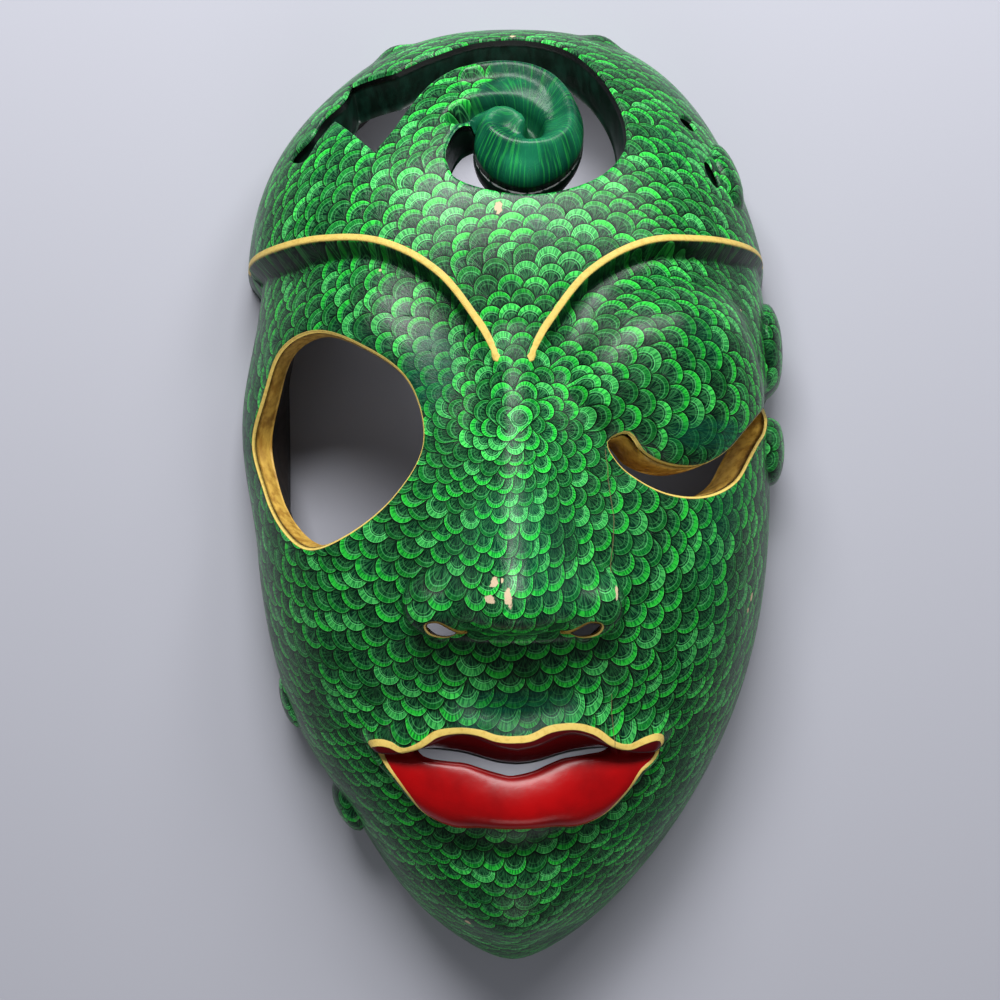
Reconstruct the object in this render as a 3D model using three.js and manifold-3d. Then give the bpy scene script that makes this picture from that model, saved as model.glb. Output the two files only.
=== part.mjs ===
// A carved and painted wooden face mask, hollow, lying on its flat back rim.
// Millimetres. X runs to the viewer's right, Y to the crown, Z out of the face.
import * as THREE from 'three';
import Module from 'manifold-3d';

// The blank: a hollow egg, flat at the back
const MASK_HEIGHT = 258;
const MASK_WIDTH = 144;
const CROWN_SHARE = 0.471;
const CROWN_REACH = MASK_HEIGHT * CROWN_SHARE;
const CHIN_REACH = MASK_HEIGHT - CROWN_REACH;
const SHELL_DEPTH = 62;
const WALL = 9;
const NOSE_HOLLOW = 9;

// Shape of the egg: how square the crown is, how the face tapers to the chin
const CROWN_POWER = 3.3;
const CROWN_ROOT = 0.43;
const CHIN_TAPER = 0.84;
const TAPER_POWER = 2.5;
const CHIN_POWER = 24;
const SIDE_POWER = 0.72;

// The carving is drawn on the blank unrolled flat, for these sizes of the blank,
// and stretches with it. Its origin is the middle of the face, between the eyes.
const DRAWN_WIDTH = 144;
const DRAWN_CROWN = 121.5;
const DRAWN_CHIN = 136.5;

// Heights of the carving over the blank
const FOREHEAD_PROUD = 2;
const TEMPLE_PROUD = 4;
const CROWN_FALL = 2.6;
const BROW_STEP = 5.5;
const BROW_END_STEP = 2.2;
const LID_PROUD = 8;
const NOSE_PROUD = 22;
const WING_PROUD = 10;
const CHEEK_PROUD = 2.5;
const UPPER_LIP_PROUD = 4.5;
const UPPER_LIP_TUCK = 4;
const LOWER_LIP_PROUD = 8.5;
const LIP_GROOVE = 2.5;
const CHIN_PROUD = 4;
const JAW_LEAN = 2.6;
const CURL_CREST = 2.4;
const CURL_DISH = 2;
const CURL_TRENCH = 6;
const CURL_ROUNDING = 6;
const SIDE_LEAF_PROUD = 4.5;
const SIDE_BULGE_PROUD = 4;
const SIDE_NOTCH_DEEP = 3.5;
const BAND_LEAF_PROUD = 1.6;

// Brow line on one half of the face, from the nose bridge to the temple
const BROW_RUN = 1.6;
const SOCKET_FADE = 26;
const BROW_SAG = 6;
const BROW_SAG_FROM = 45;
const BROW_SAG_TO = 100;
const BROW_LINE = [
  [4, 27], [9, 36.5], [20, 51], [36, 61.5], [55, 67], [75, 73], [100, 82.5],
];

// Nose: [place along the midline, share of the height, half width]
const NOSE_PROFILE = [
  [38, 0, 9], [24, 0.12, 11], [10, 0.28, 15], [-8, 0.52, 19], [-22, 0.8, 23],
  [-29, 0.98, 26], [-34, 0.96, 27], [-38, 0.66, 26], [-41.5, 0.22, 25], [-45, 0, 24],
];
const WING = { u: 19, v: -34.5, halfWidth: 10, halfHeight: 9.5 };

// Lips, about their own midline: crest of the upper lip, lower edge of the lower one
const LIP_MIDLINE = 1;
const LIP_HALF_WIDTH = 45;
const UPPER_CREST = [[0, -73.5], [5, -72.5], [13, -69.5], [18, -70.5], [26, -75.5], [34, -79], [45, -81]];
const LOWER_EDGE = [[0, -104.5], [10, -105.5], [18, -107.5], [26, -105.5], [31, -101], [35, -95], [45, -83]];
const MOUTH_SEAM = [
  [0, -84.4], [5, -83.9], [8.5, -83.2], [12, -82.2], [16, -81.4], [24, -81], [34, -81.2], [45, -82],
];
const LIP_APRON = 10;
const LIP_CORNER = 38;

// Rounded forms: middle, half width, half height
const LID = { u: 50, v: 30, halfWidth: 36, halfHeight: 30 };
const HOLLOW = { u: 0, v: -28, halfWidth: 30, halfHeight: 34 };
const CHEEK = { u: 50, v: -40, halfWidth: 42, halfHeight: 48 };
const CHIN = { u: 0, v: -141, halfWidth: 34, halfHeight: 34 };
const CHIN_DIP = { u: 0, v: -114, halfWidth: 28, halfHeight: 9 };
const LEAN_JAW = { u: -66, v: -140, halfWidth: 46, halfHeight: 54 };
const SIDE_LEAVES = [
  { u: 103, v: 48, halfWidth: 11, halfHeight: 19, share: 0.95 },
  { u: 104, v: 8, halfWidth: 11, halfHeight: 14, share: 0.9 },
  { u: 78, v: 107, halfWidth: 8, halfHeight: 15, share: 0.6 },
  { u: -93, v: -96, halfWidth: 9, halfHeight: 11, share: 0.5 },
  { u: -68, v: -138, halfWidth: 9, halfHeight: 12, share: 0.9 },
];
const SIDE_BULGE = { u: -112, v: 18, halfWidth: 30, halfHeight: 54 };
const SIDE_NOTCH = { u: 103, v: 26, halfWidth: 17, halfHeight: 8 };
const TEMPLE = { u: -94, v: 98, halfWidth: 66, halfHeight: 66 };
const CROWN_SIDE = { u: 84, v: 124, halfWidth: 80, halfHeight: 80 };
const BAND_LEAVES = [
  { u: -47, v: 164, halfWidth: 11, halfHeight: 8, share: 1 },
  { u: 35, v: 168, halfWidth: 11, halfHeight: 8, share: 1 },
];

// How an opening goes through the wall: 1 is square to the wall and 0 is straight in
// from the front, across the face (x) and along it (y), and droop tips it to the chin.
// Where left is given, it takes the place of x on the left half.
const SQUARE_IN = { x: 1, y: 1, droop: 0 };
const CROWN_SLANT = { x: 1, left: 0.5, y: 1, droop: 0 };
const STRAIGHT_IN = { x: 0, y: 0, droop: 0 };
const MOUTH_SLANT = { x: 0, y: 0, droop: 0.16 };
const EYE_SLANT = { x: 0.5, y: 0.25, droop: 0 };
const SLIT_SLANT = { x: 1, y: 0.6, droop: 0.2 };

// Openings, as closed smooth loops, anticlockwise
const ROUND_EYE = [
  [-60, 41], [-77, 38], [-88, 25], [-95.5, 9], [-86, -9], [-73, -19], [-60, -23],
  [-46, -18], [-32, -7], [-24, 7], [-28, 23], [-42, 34],
];
const SLIT_EYE = [
  [25, 7], [28, 1.5], [34, -3], [42, -6.5], [52, -7.8], [62, -6.4], [71, -2.6], [78, 4],
  [84.5, 9.5], [92, 14.5], [94.5, 19], [90, 21.5], [81, 20], [73, 16], [66.5, 11], [60, 5], [52, 1],
  [42, 1], [34, 4], [28.5, 9],
];
const MOUTH = [
  [29, -81], [22.7, -80.7], [14.6, -81.6], [11, -82.3], [7.7, -83.4], [4.7, -83.9], [0.2, -83.8], [-4.7, -83.6],
  [-9.5, -82.4], [-12.5, -81.6], [-16.5, -81], [-22.7, -80.7], [-29, -81], [-26.7, -82.6], [-23.7, -83.2], [-20.8, -83.3],
  [-17.3, -83.4], [-13.9, -83.5], [-10.6, -84.2], [-7.2, -85.1], [-3.8, -85.8], [-0.5, -86.2], [3, -85.9], [6.4, -85.3],
  [10.3, -84.1], [14.4, -82.9], [21.4, -82.3], [26.2, -82],
];
const NOSTRIL = [
  [-12.3, -42.4], [-15.4, -38.4], [-18.3, -36.6], [-21.2, -37.6], [-20.8, -40.2], [-18.3, -42], [-15.4, -43],
];
const SLOT_HIGH = [[57, 120.6], [58, 117.2], [60.4, 116.2], [64, 119.4], [62.6, 123], [59.3, 123.2]];
const SLOT_LOW = [[64, 103.2], [63.2, 96.4], [65.8, 92.6], [68.8, 94.6], [68, 101], [66.2, 104.6]];

// The opening over the curl: its outer edge, and the curl and leaf that stand in it
const CROWN_EDGE = [
  [-19.3, 88], [-16.5, 81.5], [-8, 77], [5, 75], [17, 78], [26, 84], [33, 95], [34, 107],
  [31, 122], [26, 134], [17, 147], [3, 154], [-12, 152], [-25, 144], [-40, 135],
];
const LEAF_EDGE = [[-58, 138], [-58, 126], [-64, 119], [-67, 110], [-74, 104], [-67, 99], [-63, 106]];
const LEAF_TIP = [-58, 114];
const CURL_ROOT = [-41, 94];
const CURL_EDGE = [
  [-36, 102], [-31.5, 112], [-26, 122], [-18, 129.5], [-9, 132.5], [0, 132], [8, 129.5], [15, 124],
  [20, 116], [22, 108], [21.5, 100], [19, 93], [13, 85], [4, 81], [-5, 84], [-10, 90], [-12, 97], [-11.2, 102],
];
const CURL_CROOK = [[-12.6, 103], [-15.5, 101], [-18, 96.5], [-19.3, 92]];
const CURL_CENTRE = { u: 4, v: 104 };
const CURL_RADIUS = 27;

// The curl's crest winds in to a knob, and a trench divides the knob from the arm over it
const CURL_LINE = [
  [-15, 124.5], [-7, 126.5], [0, 127], [6.5, 124.5], [12, 119.5], [15.5, 112], [16.5, 104], [15.5, 97],
  [11.5, 92.5], [5, 90.6], [-1, 91.8], [-5.5, 95.5], [-7.8, 99.5], [-6, 103], [-2.5, 105.3], [1, 104.3], [2.8, 101],
];
const TRENCH_LINE = [[-17, 104.5], [-12, 108.5], [-6, 109.6], [0, 109.4], [4.8, 106.4], [6.6, 102], [5.6, 98.4]];
const CREST_REACH = 5;
const DISH_REACH = 15;
const TRENCH_FLOOR = 1.2;
const TRENCH_REACH = 3.6;

// Facets
const RIM_STEPS = 132;
const COARSE = 9.5;
const FINE = 4.8;
const FINEST = 3.2;
const INSIDE_GRID = 13;
const LINE_STEP = 4.2;
const LOOP_STEP = 4;
const LOOP_MARGIN = 1;
const BROW_SHOULDER = 3.4;
const LIP_ROLL = 2.2;
const MIDDLE_BLEND = 8;
const CUT_INWARD = -3;
const CUT_OUTWARD = 4;

const { clamp, smoothstep, lerp } = THREE.MathUtils;

// Height of a smooth line through [x, y] points, rising in x
function heightAt(line, x) {
  const last = line.length - 1;
  if (x <= line[0][0]) return line[0][1];
  if (x >= line[last][0]) return line[last][1];
  const i = line.findIndex((point) => point[0] > x) - 1;
  const slopeAt = (k) => {
    const a = line[Math.max(k - 1, 0)];
    const b = line[Math.min(k + 1, last)];
    return (b[1] - a[1]) / (b[0] - a[0]);
  };
  const [x0, y0] = line[i];
  const [x1, y1] = line[i + 1];
  const run = x1 - x0;
  const t = (x - x0) / run;
  const m0 = slopeAt(i) * run;
  const m1 = slopeAt(i + 1) * run;
  const t2 = t * t;
  const t3 = t2 * t;
  return (2 * t3 - 3 * t2 + 1) * y0 + (t3 - 2 * t2 + t) * m0 + (3 * t2 - 2 * t3) * y1 + (t3 - t2) * m1;
}

// A smooth hill, 1 at distance 0 and 0 from distance 1 on
const hill = (distance) => (distance < 1 ? 0.5 + 0.5 * Math.cos(Math.PI * distance) : 0);
const reachIn = (form, u, v) => Math.hypot((u - form.u) / form.halfWidth, (v - form.v) / form.halfHeight);
const mound = (form, u, v) => hill(reachIn(form, u, v));
const dome = (form, u, v) => Math.sqrt(Math.max(1 - reachIn(form, u, v) ** 2, 0));

// A closed or open smooth curve through the points, as evenly spaced points
function smoothCurve(points, closed, step) {
  const corners = points.map(([u, v]) => new THREE.Vector3(u, v, 0));
  const curve = new THREE.CatmullRomCurve3(corners, closed, 'centripetal');
  const count = Math.max(3, Math.round(curve.getLength() / step));
  const spaced = curve.getSpacedPoints(count);
  if (closed) spaced.pop();
  return spaced.map((point) => [point.x, point.y]);
}

function distanceToLine(line, u, v) {
  let best = Infinity;
  for (let i = 0; i + 1 < line.length; i += 1) {
    const [au, av] = line[i];
    const du = line[i + 1][0] - au;
    const dv = line[i + 1][1] - av;
    const t = clamp(((u - au) * du + (v - av) * dv) / (du * du + dv * dv), 0, 1);
    best = Math.min(best, Math.hypot(u - au - t * du, v - av - t * dv));
  }
  return best;
}

// The egg of the rim as drawn, as radius against angle
const RIM_TABLE_STEPS = 720;
const rimTable = [];
for (let i = 0; i <= RIM_TABLE_STEPS; i += 1) {
  const turn = Math.PI * (i / RIM_TABLE_STEPS - 0.5);
  const rise = Math.sin(turn);
  const share = Math.abs(rise);
  const crown = Math.max(1 - share ** CROWN_POWER, 0) ** CROWN_ROOT;
  const jaw = (1 - CHIN_TAPER * share ** TAPER_POWER) * Math.sqrt(Math.max(1 - share ** CHIN_POWER, 0));
  const x = (DRAWN_WIDTH / 2) * (rise >= 0 ? crown : jaw);
  const y = (rise >= 0 ? DRAWN_CROWN : DRAWN_CHIN) * rise;
  rimTable.push([Math.atan2(y, x), Math.hypot(x, y)]);
}

function rimRadius(angle) {
  const folded = Math.asin(clamp(Math.sin(angle), -1, 1));
  let low = 0;
  let high = rimTable.length - 1;
  while (high - low > 1) {
    const middle = (low + high) >> 1;
    if (rimTable[middle][0] > folded) high = middle;
    else low = middle;
  }
  const span = rimTable[high][0] - rimTable[low][0];
  return lerp(rimTable[low][1], rimTable[high][1], clamp((folded - rimTable[low][0]) / span, 0, 1));
}

// Outer and inner point of the plain blank at a place of the drawing
function blankAt(u, v) {
  const angle = Math.atan2(v, u);
  const radius = rimRadius(angle);
  const tilt = Math.min(Math.hypot(u, v) / radius, Math.PI / 2);
  const across = radius * Math.cos(angle) * (MASK_WIDTH / DRAWN_WIDTH);
  const along = radius * Math.sin(angle) * (v > 0 ? CROWN_REACH / DRAWN_CROWN : CHIN_REACH / DRAWN_CHIN);
  const inward = 1 - WALL / Math.hypot(across, along);
  const out = Math.sin(tilt);
  const up = Math.max(Math.cos(tilt), 0) ** SIDE_POWER;
  const outer = new THREE.Vector3(across * out, along * out, SHELL_DEPTH * up);
  const inner = new THREE.Vector3(outer.x * inward, outer.y * inward, (SHELL_DEPTH - WALL) * up);
  return { outer, inner };
}

// The brow line's end sags on the left
const browSag = (u) => BROW_SAG * smoothstep(-u, BROW_SAG_FROM, BROW_SAG_TO);

// Forehead layer with its overhanging brow ridges, and the sockets under them
function brow(u, v) {
  const x = Math.abs(u);
  const inset = 1;
  const slope = (heightAt(BROW_LINE, x + inset) - heightAt(BROW_LINE, x - inset)) / (2 * inset);
  const above = (v - heightAt(BROW_LINE, x) + browSag(u)) / Math.hypot(1, slope);
  const layer = FOREHEAD_PROUD * smoothstep(v, 20, 62);
  const middle = smoothstep(x, 6, 26) * (1 - smoothstep(x, 70, 100));
  const step = smoothstep(x, 0, 12) * lerp(BROW_END_STEP, BROW_STEP, middle);
  const socket = (layer - step) * hill(Math.max(-above, 0) / SOCKET_FADE);
  const over = smoothstep(above, -BROW_RUN, 0);
  return lerp(socket, layer, over) + TEMPLE_PROUD * mound(TEMPLE, u, v) * over;
}

// Half-closed lid, steep above the slit and easing into the brow
function lid(u, v) {
  const reach = Math.min(reachIn(LID, u, v), 1);
  const sharp = smoothstep(LID.v - v, -LID.halfHeight / 2, LID.halfHeight / 2);
  return LID_PROUD * (1 - reach * reach) ** lerp(1.3, 0.5, sharp);
}

function nose(u, v) {
  const shares = NOSE_PROFILE.map(([place, share]) => [-place, share]);
  const widths = NOSE_PROFILE.map(([place, , halfWidth]) => [-place, halfWidth]);
  const ridge = NOSE_PROUD * Math.max(heightAt(shares, -v), 0) * hill(Math.abs(u) / heightAt(widths, -v));
  const wing = WING_PROUD * Math.sqrt(Math.max(1 - reachIn(WING, Math.abs(u), v) ** 2, 0));
  return Math.cbrt(ridge ** 3 + wing ** 3);
}

function lips(u, v) {
  const x = Math.abs(u - LIP_MIDLINE);
  const spread = Math.sqrt(Math.max(1 - (x / LIP_HALF_WIDTH) ** 2, 0));
  const crest = heightAt(UPPER_CREST, x);
  const foot = heightAt(LOWER_EDGE, x);
  const part = heightAt(MOUTH_SEAM, x);
  const rise = UPPER_LIP_PROUD * hill(Math.max(x - LIP_CORNER, 0) / LIP_APRON);
  if (v > crest) return rise * hill((v - crest) / LIP_APRON);
  const seam = lerp(rise, -UPPER_LIP_TUCK, spread);
  if (v > part) return lerp(rise, seam, (crest - v) / (crest - part));
  const groove = -LIP_GROOVE * spread;
  if (v < foot) return groove * hill((foot - v) / LIP_APRON);
  const down = (part - v) / (part - foot);
  return lerp(seam, groove, smoothstep(down, 0, 1)) + LOWER_LIP_PROUD * spread * Math.sin(Math.PI * down) ** 0.75;
}

// The curl: a rounded arm, dished inside its crest
const curlLine = smoothCurve(CURL_LINE, false, 2);
const trenchLine = smoothCurve(TRENCH_LINE, false, 2);
const curlEdge = smoothCurve(CURL_EDGE, false, 2);

function curl(u, v) {
  const away = Math.hypot(u - CURL_CENTRE.u, v - CURL_CENTRE.v);
  if (away > CURL_RADIUS + CURL_ROUNDING) return 0;
  const onCurl = smoothstep(CURL_RADIUS + CURL_ROUNDING - away, 0, CURL_ROUNDING);
  const crest = CURL_CREST * hill(distanceToLine(curlLine, u, v) / CREST_REACH);
  const dish = CURL_DISH * hill(away / DISH_REACH);
  const trench = CURL_TRENCH * (1 - smoothstep(distanceToLine(trenchLine, u, v), TRENCH_FLOOR, TRENCH_REACH));
  const toEdge = Math.min(distanceToLine(curlEdge, u, v) / CURL_ROUNDING, 1);
  const rounding = CURL_ROUNDING * (1 - Math.sqrt(1 - (1 - toEdge) ** 2));
  return onCurl * (crest - dish - trench - rounding);
}

function relief(u, v) {
  const cheek = CHEEK_PROUD * mound(CHEEK, Math.abs(u), v);
  const chin = CHIN_PROUD * mound(CHIN, u, v) - LIP_GROOVE * mound(CHIN_DIP, u, v)
    - JAW_LEAN * mound(LEAN_JAW, u, v) - CROWN_FALL * mound(CROWN_SIDE, u, v);
  const sideLeaves = SIDE_LEAVES.reduce((sum, leaf) => sum + leaf.share * dome(leaf, u, v), 0)
    - (SIDE_NOTCH_DEEP / SIDE_LEAF_PROUD) * mound(SIDE_NOTCH, u, v);
  const bandLeaves = BAND_LEAVES.reduce((sum, leaf) => sum + leaf.share * mound(leaf, u, v), 0);
  return brow(u, v) + lid(u, v) + nose(u, v) + lips(u, v) + cheek + chin + curl(u, v)
    + SIDE_LEAF_PROUD * sideLeaves + SIDE_BULGE_PROUD * mound(SIDE_BULGE, u, v)
    + BAND_LEAF_PROUD * bandLeaves;
}

function outerAt([u, v]) {
  const { outer, inner } = blankAt(u, v);
  const outward = outer.clone().sub(inner).normalize();
  return outer.addScaledVector(outward, relief(u, v));
}

function innerAt([u, v]) {
  const { outer, inner } = blankAt(u, v);
  const outward = outer.clone().sub(inner).normalize();
  return inner.addScaledVector(outward, NOSE_HOLLOW * mound(HOLLOW, u, v));
}

// Loops of the openings, anticlockwise in the drawing
const mirrored = (loop) => loop.map(([u, v]) => [-u, v]).reverse();
const crownLoop = [
  ...smoothCurve(CROWN_EDGE, false, LOOP_STEP),
  ...smoothCurve(LEAF_EDGE, false, LOOP_STEP),
  LEAF_TIP,
  CURL_ROOT,
  ...smoothCurve(CURL_EDGE, false, LOOP_STEP),
  ...smoothCurve(CURL_CROOK, false, LOOP_STEP),
];
const openings = [
  { loop: smoothCurve(ROUND_EYE, true, LOOP_STEP), slant: EYE_SLANT },
  { loop: smoothCurve(SLIT_EYE, true, LOOP_STEP), slant: SLIT_SLANT },
  { loop: smoothCurve(MOUTH, true, LOOP_STEP), slant: MOUTH_SLANT },
  { loop: smoothCurve(NOSTRIL, true, LOOP_STEP / 2), slant: STRAIGHT_IN },
  { loop: smoothCurve(mirrored(NOSTRIL), true, LOOP_STEP / 2), slant: STRAIGHT_IN },
  { loop: smoothCurve(SLOT_HIGH, true, LOOP_STEP), slant: SQUARE_IN },
  { loop: smoothCurve(SLOT_LOW, true, LOOP_STEP), slant: SQUARE_IN },
  { loop: crownLoop, slant: CROWN_SLANT },
];

// Points side by side with a line, on both sides of it
function besideLine(line, offsets) {
  const rows = [];
  line.forEach(([u, v], i) => {
    const before = line[Math.max(i - 1, 0)];
    const after = line[Math.min(i + 1, line.length - 1)];
    const run = Math.hypot(after[0] - before[0], after[1] - before[1]) || 1;
    const nu = -(after[1] - before[1]) / run;
    const nv = (after[0] - before[0]) / run;
    offsets.forEach((offset) => rows.push([u + nu * offset, v + nv * offset]));
  });
  return rows;
}

// Evenly spaced points along a line of heights, on one side of a midline
function alongHeights(line, midline, side, step) {
  const points = [];
  const end = line[line.length - 1][0];
  let x = line[0][0];
  while (x <= end) {
    points.push([midline + side * x, heightAt(line, x)]);
    const slope = heightAt(line, x + 0.5) - heightAt(line, x - 0.5);
    x += step / Math.hypot(1, slope);
  }
  return points;
}

// Points round the foot of a dome
function leafEdge(form) {
  const count = Math.round((Math.PI * (form.halfWidth + form.halfHeight)) / LINE_STEP);
  const points = [];
  for (let i = 0; i < count; i += 1) {
    const swing = (2 * Math.PI * i) / count;
    points.push([form.u + form.halfWidth * Math.cos(swing), form.v + form.halfHeight * Math.sin(swing)]);
  }
  return points;
}

// Where the surface turns sharply, points follow the line of the form
function formPoints() {
  const points = [];
  [1, -1].forEach((side) => {
    const browLine = alongHeights(BROW_LINE, 0, side, LINE_STEP).map(([u, v]) => [u, v - browSag(u)]);
    points.push(...besideLine(browLine, [-BROW_RUN * side, 0, BROW_SHOULDER * side]));
    points.push(...alongHeights(UPPER_CREST, LIP_MIDLINE, side, LINE_STEP));
    points.push(...besideLine(alongHeights(LOWER_EDGE, LIP_MIDLINE, side, LINE_STEP), [0, LIP_ROLL * side]));
    points.push(...leafEdge({ ...WING, u: side * WING.u }));
  });
  points.push(...smoothCurve(CURL_LINE, false, FINEST));
  points.push(...besideLine(smoothCurve(TRENCH_LINE, false, FINEST), [-TRENCH_REACH, 0, TRENCH_REACH]));
  SIDE_LEAVES.forEach((leaf) => points.push(...leafEdge(leaf)));
  openings.forEach(({ loop }) => points.push(...besideLine([...loop, loop[0]], [-LOOP_MARGIN])));
  return points;
}

// Fields of close points: over the curl, and over the other fine forms
const curlField = [{ u: 4, v: 108, halfWidth: 25, halfHeight: 30 }];
const fineFields = [
  { u: 0, v: -30, halfWidth: 34, halfHeight: 42 },
  { u: 0, v: -88, halfWidth: 60, halfHeight: 30 },
  { u: 50, v: 28, halfWidth: 38, halfHeight: 34 },
  { u: 0, v: 20, halfWidth: 24, halfHeight: 20 },
  { u: 0, v: 44, halfWidth: 40, halfHeight: 20 },
  ...SIDE_LEAVES,
  ...BAND_LEAVES,
];

const insideRim = (u, v, margin) => Math.hypot(u, v) + margin < (rimRadius(Math.atan2(v, u)) * Math.PI) / 2;

// A field of points in rows, closer where the carving is fine
function fieldPoints(taken, step, keep) {
  const reach = (Math.PI / 2) * Math.max(DRAWN_CROWN, DRAWN_CHIN);
  const rowStep = step * Math.sqrt(0.75);
  let row = 0;
  for (let v = -reach; v <= reach; v += rowStep) {
    const shift = (row % 2) * (step / 2);
    for (let u = -reach + shift; u <= reach; u += step) {
      const clear = taken.every(([a, b]) => Math.hypot(a - u, b - v) > 0.72 * step);
      if (insideRim(u, v, step / 2) && keep(u, v) && clear) taken.push([u, v]);
    }
    row += 1;
  }
}

function rimRing() {
  const ring = [];
  for (let i = 0; i < RIM_STEPS; i += 1) {
    const angle = (2 * Math.PI * i) / RIM_STEPS;
    const radius = (rimRadius(angle) * Math.PI) / 2;
    ring.push([radius * Math.cos(angle), radius * Math.sin(angle)]);
  }
  return ring;
}

// Delaunay triangles of points in the plane, anticlockwise
function delaunay(points) {
  const far = 2000;
  const nudge = 0.004;
  const all = points.map(([u, v], i) => [
    u + nudge * Math.sin(12.9 * i), v + nudge * Math.sin(78.2 * i + 1),
  ]);
  const count = all.length;
  all.push([-far, -far], [far, -far], [0, far]);
  const ring = (a, b, c) => {
    const [ax, ay] = all[a];
    const bx = all[b][0] - ax;
    const by = all[b][1] - ay;
    const cx = all[c][0] - ax;
    const cy = all[c][1] - ay;
    const d = 2 * (bx * cy - by * cx);
    const bb = bx * bx + by * by;
    const cc = cx * cx + cy * cy;
    const x = (cy * bb - by * cc) / d;
    const y = (bx * cc - cx * bb) / d;
    return { corners: [a, b, c], x: ax + x, y: ay + y, rr: x * x + y * y };
  };
  let triangles = [ring(count, count + 1, count + 2)];
  for (let i = 0; i < count; i += 1) {
    const [px, py] = all[i];
    const edges = new Map();
    const kept = [];
    triangles.forEach((triangle) => {
      if ((px - triangle.x) ** 2 + (py - triangle.y) ** 2 > triangle.rr) {
        kept.push(triangle);
        return;
      }
      const [a, b, c] = triangle.corners;
      [[a, b], [b, c], [c, a]].forEach(([from, to]) => {
        const back = `${to} ${from}`;
        if (edges.has(back)) edges.delete(back);
        else edges.set(`${from} ${to}`, [from, to]);
      });
    });
    edges.forEach(([from, to]) => kept.push(ring(from, to, i)));
    triangles = kept;
  }
  const corners = triangles.map((triangle) => triangle.corners);
  return corners.filter((three) => three.every((corner) => corner < count));
}

// Triangles of the drawing that lie inside the rim
function sheetTriangles(points) {
  return delaunay(points).filter((three) => {
    const u = (points[three[0]][0] + points[three[1]][0] + points[three[2]][0]) / 3;
    const v = (points[three[0]][1] + points[three[1]][1] + points[three[2]][1]) / 3;
    return insideRim(u, v, 0);
  });
}

function shellBody() {
  const ring = rimRing();
  const outside = [...ring];
  formPoints().forEach(([u, v]) => {
    const clear = outside.every(([a, b]) => Math.hypot(a - u, b - v) > 0.9);
    if (insideRim(u, v, 2) && clear) outside.push([u, v]);
  });
  fieldPoints(outside, FINEST, (u, v) => curlField.some((form) => reachIn(form, u, v) < 1));
  fieldPoints(outside, FINE, (u, v) => fineFields.some((form) => reachIn(form, u, v) < 1));
  fieldPoints(outside, COARSE, () => true);
  const inside = [...ring];
  fieldPoints(inside, INSIDE_GRID, () => true);

  const places = [...outside.map(outerAt), ...inside.map(innerAt)];
  const shift = outside.length;
  const faces = sheetTriangles(outside);
  sheetTriangles(inside).forEach(([a, b, c]) => faces.push([a + shift, c + shift, b + shift]));
  for (let i = 0; i < RIM_STEPS; i += 1) {
    const next = (i + 1) % RIM_STEPS;
    faces.push([i, i + shift, next + shift], [i, next + shift, next]);
  }
  return solidOf(places, faces);
}

// A cutter through the wall along the drawing's loop, from the carved surface
function cutter({ loop, slant }) {
  const flat = loop.map(([u, v]) => new THREE.Vector2(u, v));
  const caps = THREE.ShapeUtils.triangulateShape(flat, []);
  const level = (depth) => loop.map(([u, v]) => {
    const { outer, inner } = blankAt(u, v);
    const wall = outer.sub(inner);
    const edge = outerAt([u, v]);
    const across = lerp(slant.left ?? slant.x, slant.x, smoothstep(edge.x, -MIDDLE_BLEND, MIDDLE_BLEND));
    const x = edge.x + depth * across * wall.x;
    const y = edge.y + depth * (slant.y * wall.y + slant.droop * WALL);
    return new THREE.Vector3(x, y, edge.z + depth * wall.z);
  });
  const places = [...level(CUT_INWARD), ...level(CUT_OUTWARD)];
  const count = loop.length;
  const faces = [];
  caps.forEach(([a, b, c]) => faces.push([a, c, b], [a + count, b + count, c + count]));
  for (let i = 0; i < count; i += 1) {
    const next = (i + 1) % count;
    faces.push([i, next, next + count], [i, next + count, i + count]);
  }
  return solidOf(places, faces);
}

const wasm = await Module();
wasm.setup();

function solidOf(places, faces) {
  const vertProperties = new Float32Array(places.flatMap((place) => place.toArray()));
  const triVerts = new Uint32Array(faces.flat());
  return new wasm.Manifold(new wasm.Mesh({ numProp: 3, vertProperties, triVerts }));
}

function geometryOf(solid) {
  const mesh = solid.getMesh();
  const geometry = new THREE.BufferGeometry();
  geometry.setAttribute('position', new THREE.BufferAttribute(new Float32Array(mesh.vertProperties), 3));
  geometry.setIndex(new THREE.BufferAttribute(new Uint32Array(mesh.triVerts), 1));
  geometry.computeVertexNormals();
  return geometry;
}

const carved = openings.reduce((body, opening) => body.subtract(cutter(opening)), shellBody());
const geometry = geometryOf(carved);

// The origin is under the middle of the mask, on the plane that its rim lies on
geometry.computeBoundingBox();
const middle = geometry.boundingBox.getCenter(new THREE.Vector3());
geometry.translate(-middle.x, -middle.y, -geometry.boundingBox.min.z);

const lacquer = new THREE.MeshStandardMaterial({ color: 0x1f8a3c, roughness: 0.4, metalness: 0 });
const mask = new THREE.Mesh(geometry, lacquer);
mask.name = 'mask';

const group = new THREE.Group();
group.add(mask);

export default group;
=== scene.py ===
"""A carved wooden mask painted with green fan scales, lying on its flat back rim."""

import math
import random

import bpy
import numpy as np
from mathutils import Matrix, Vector, kdtree
from mathutils.geometry import delaunay_2d_cdt


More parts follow.
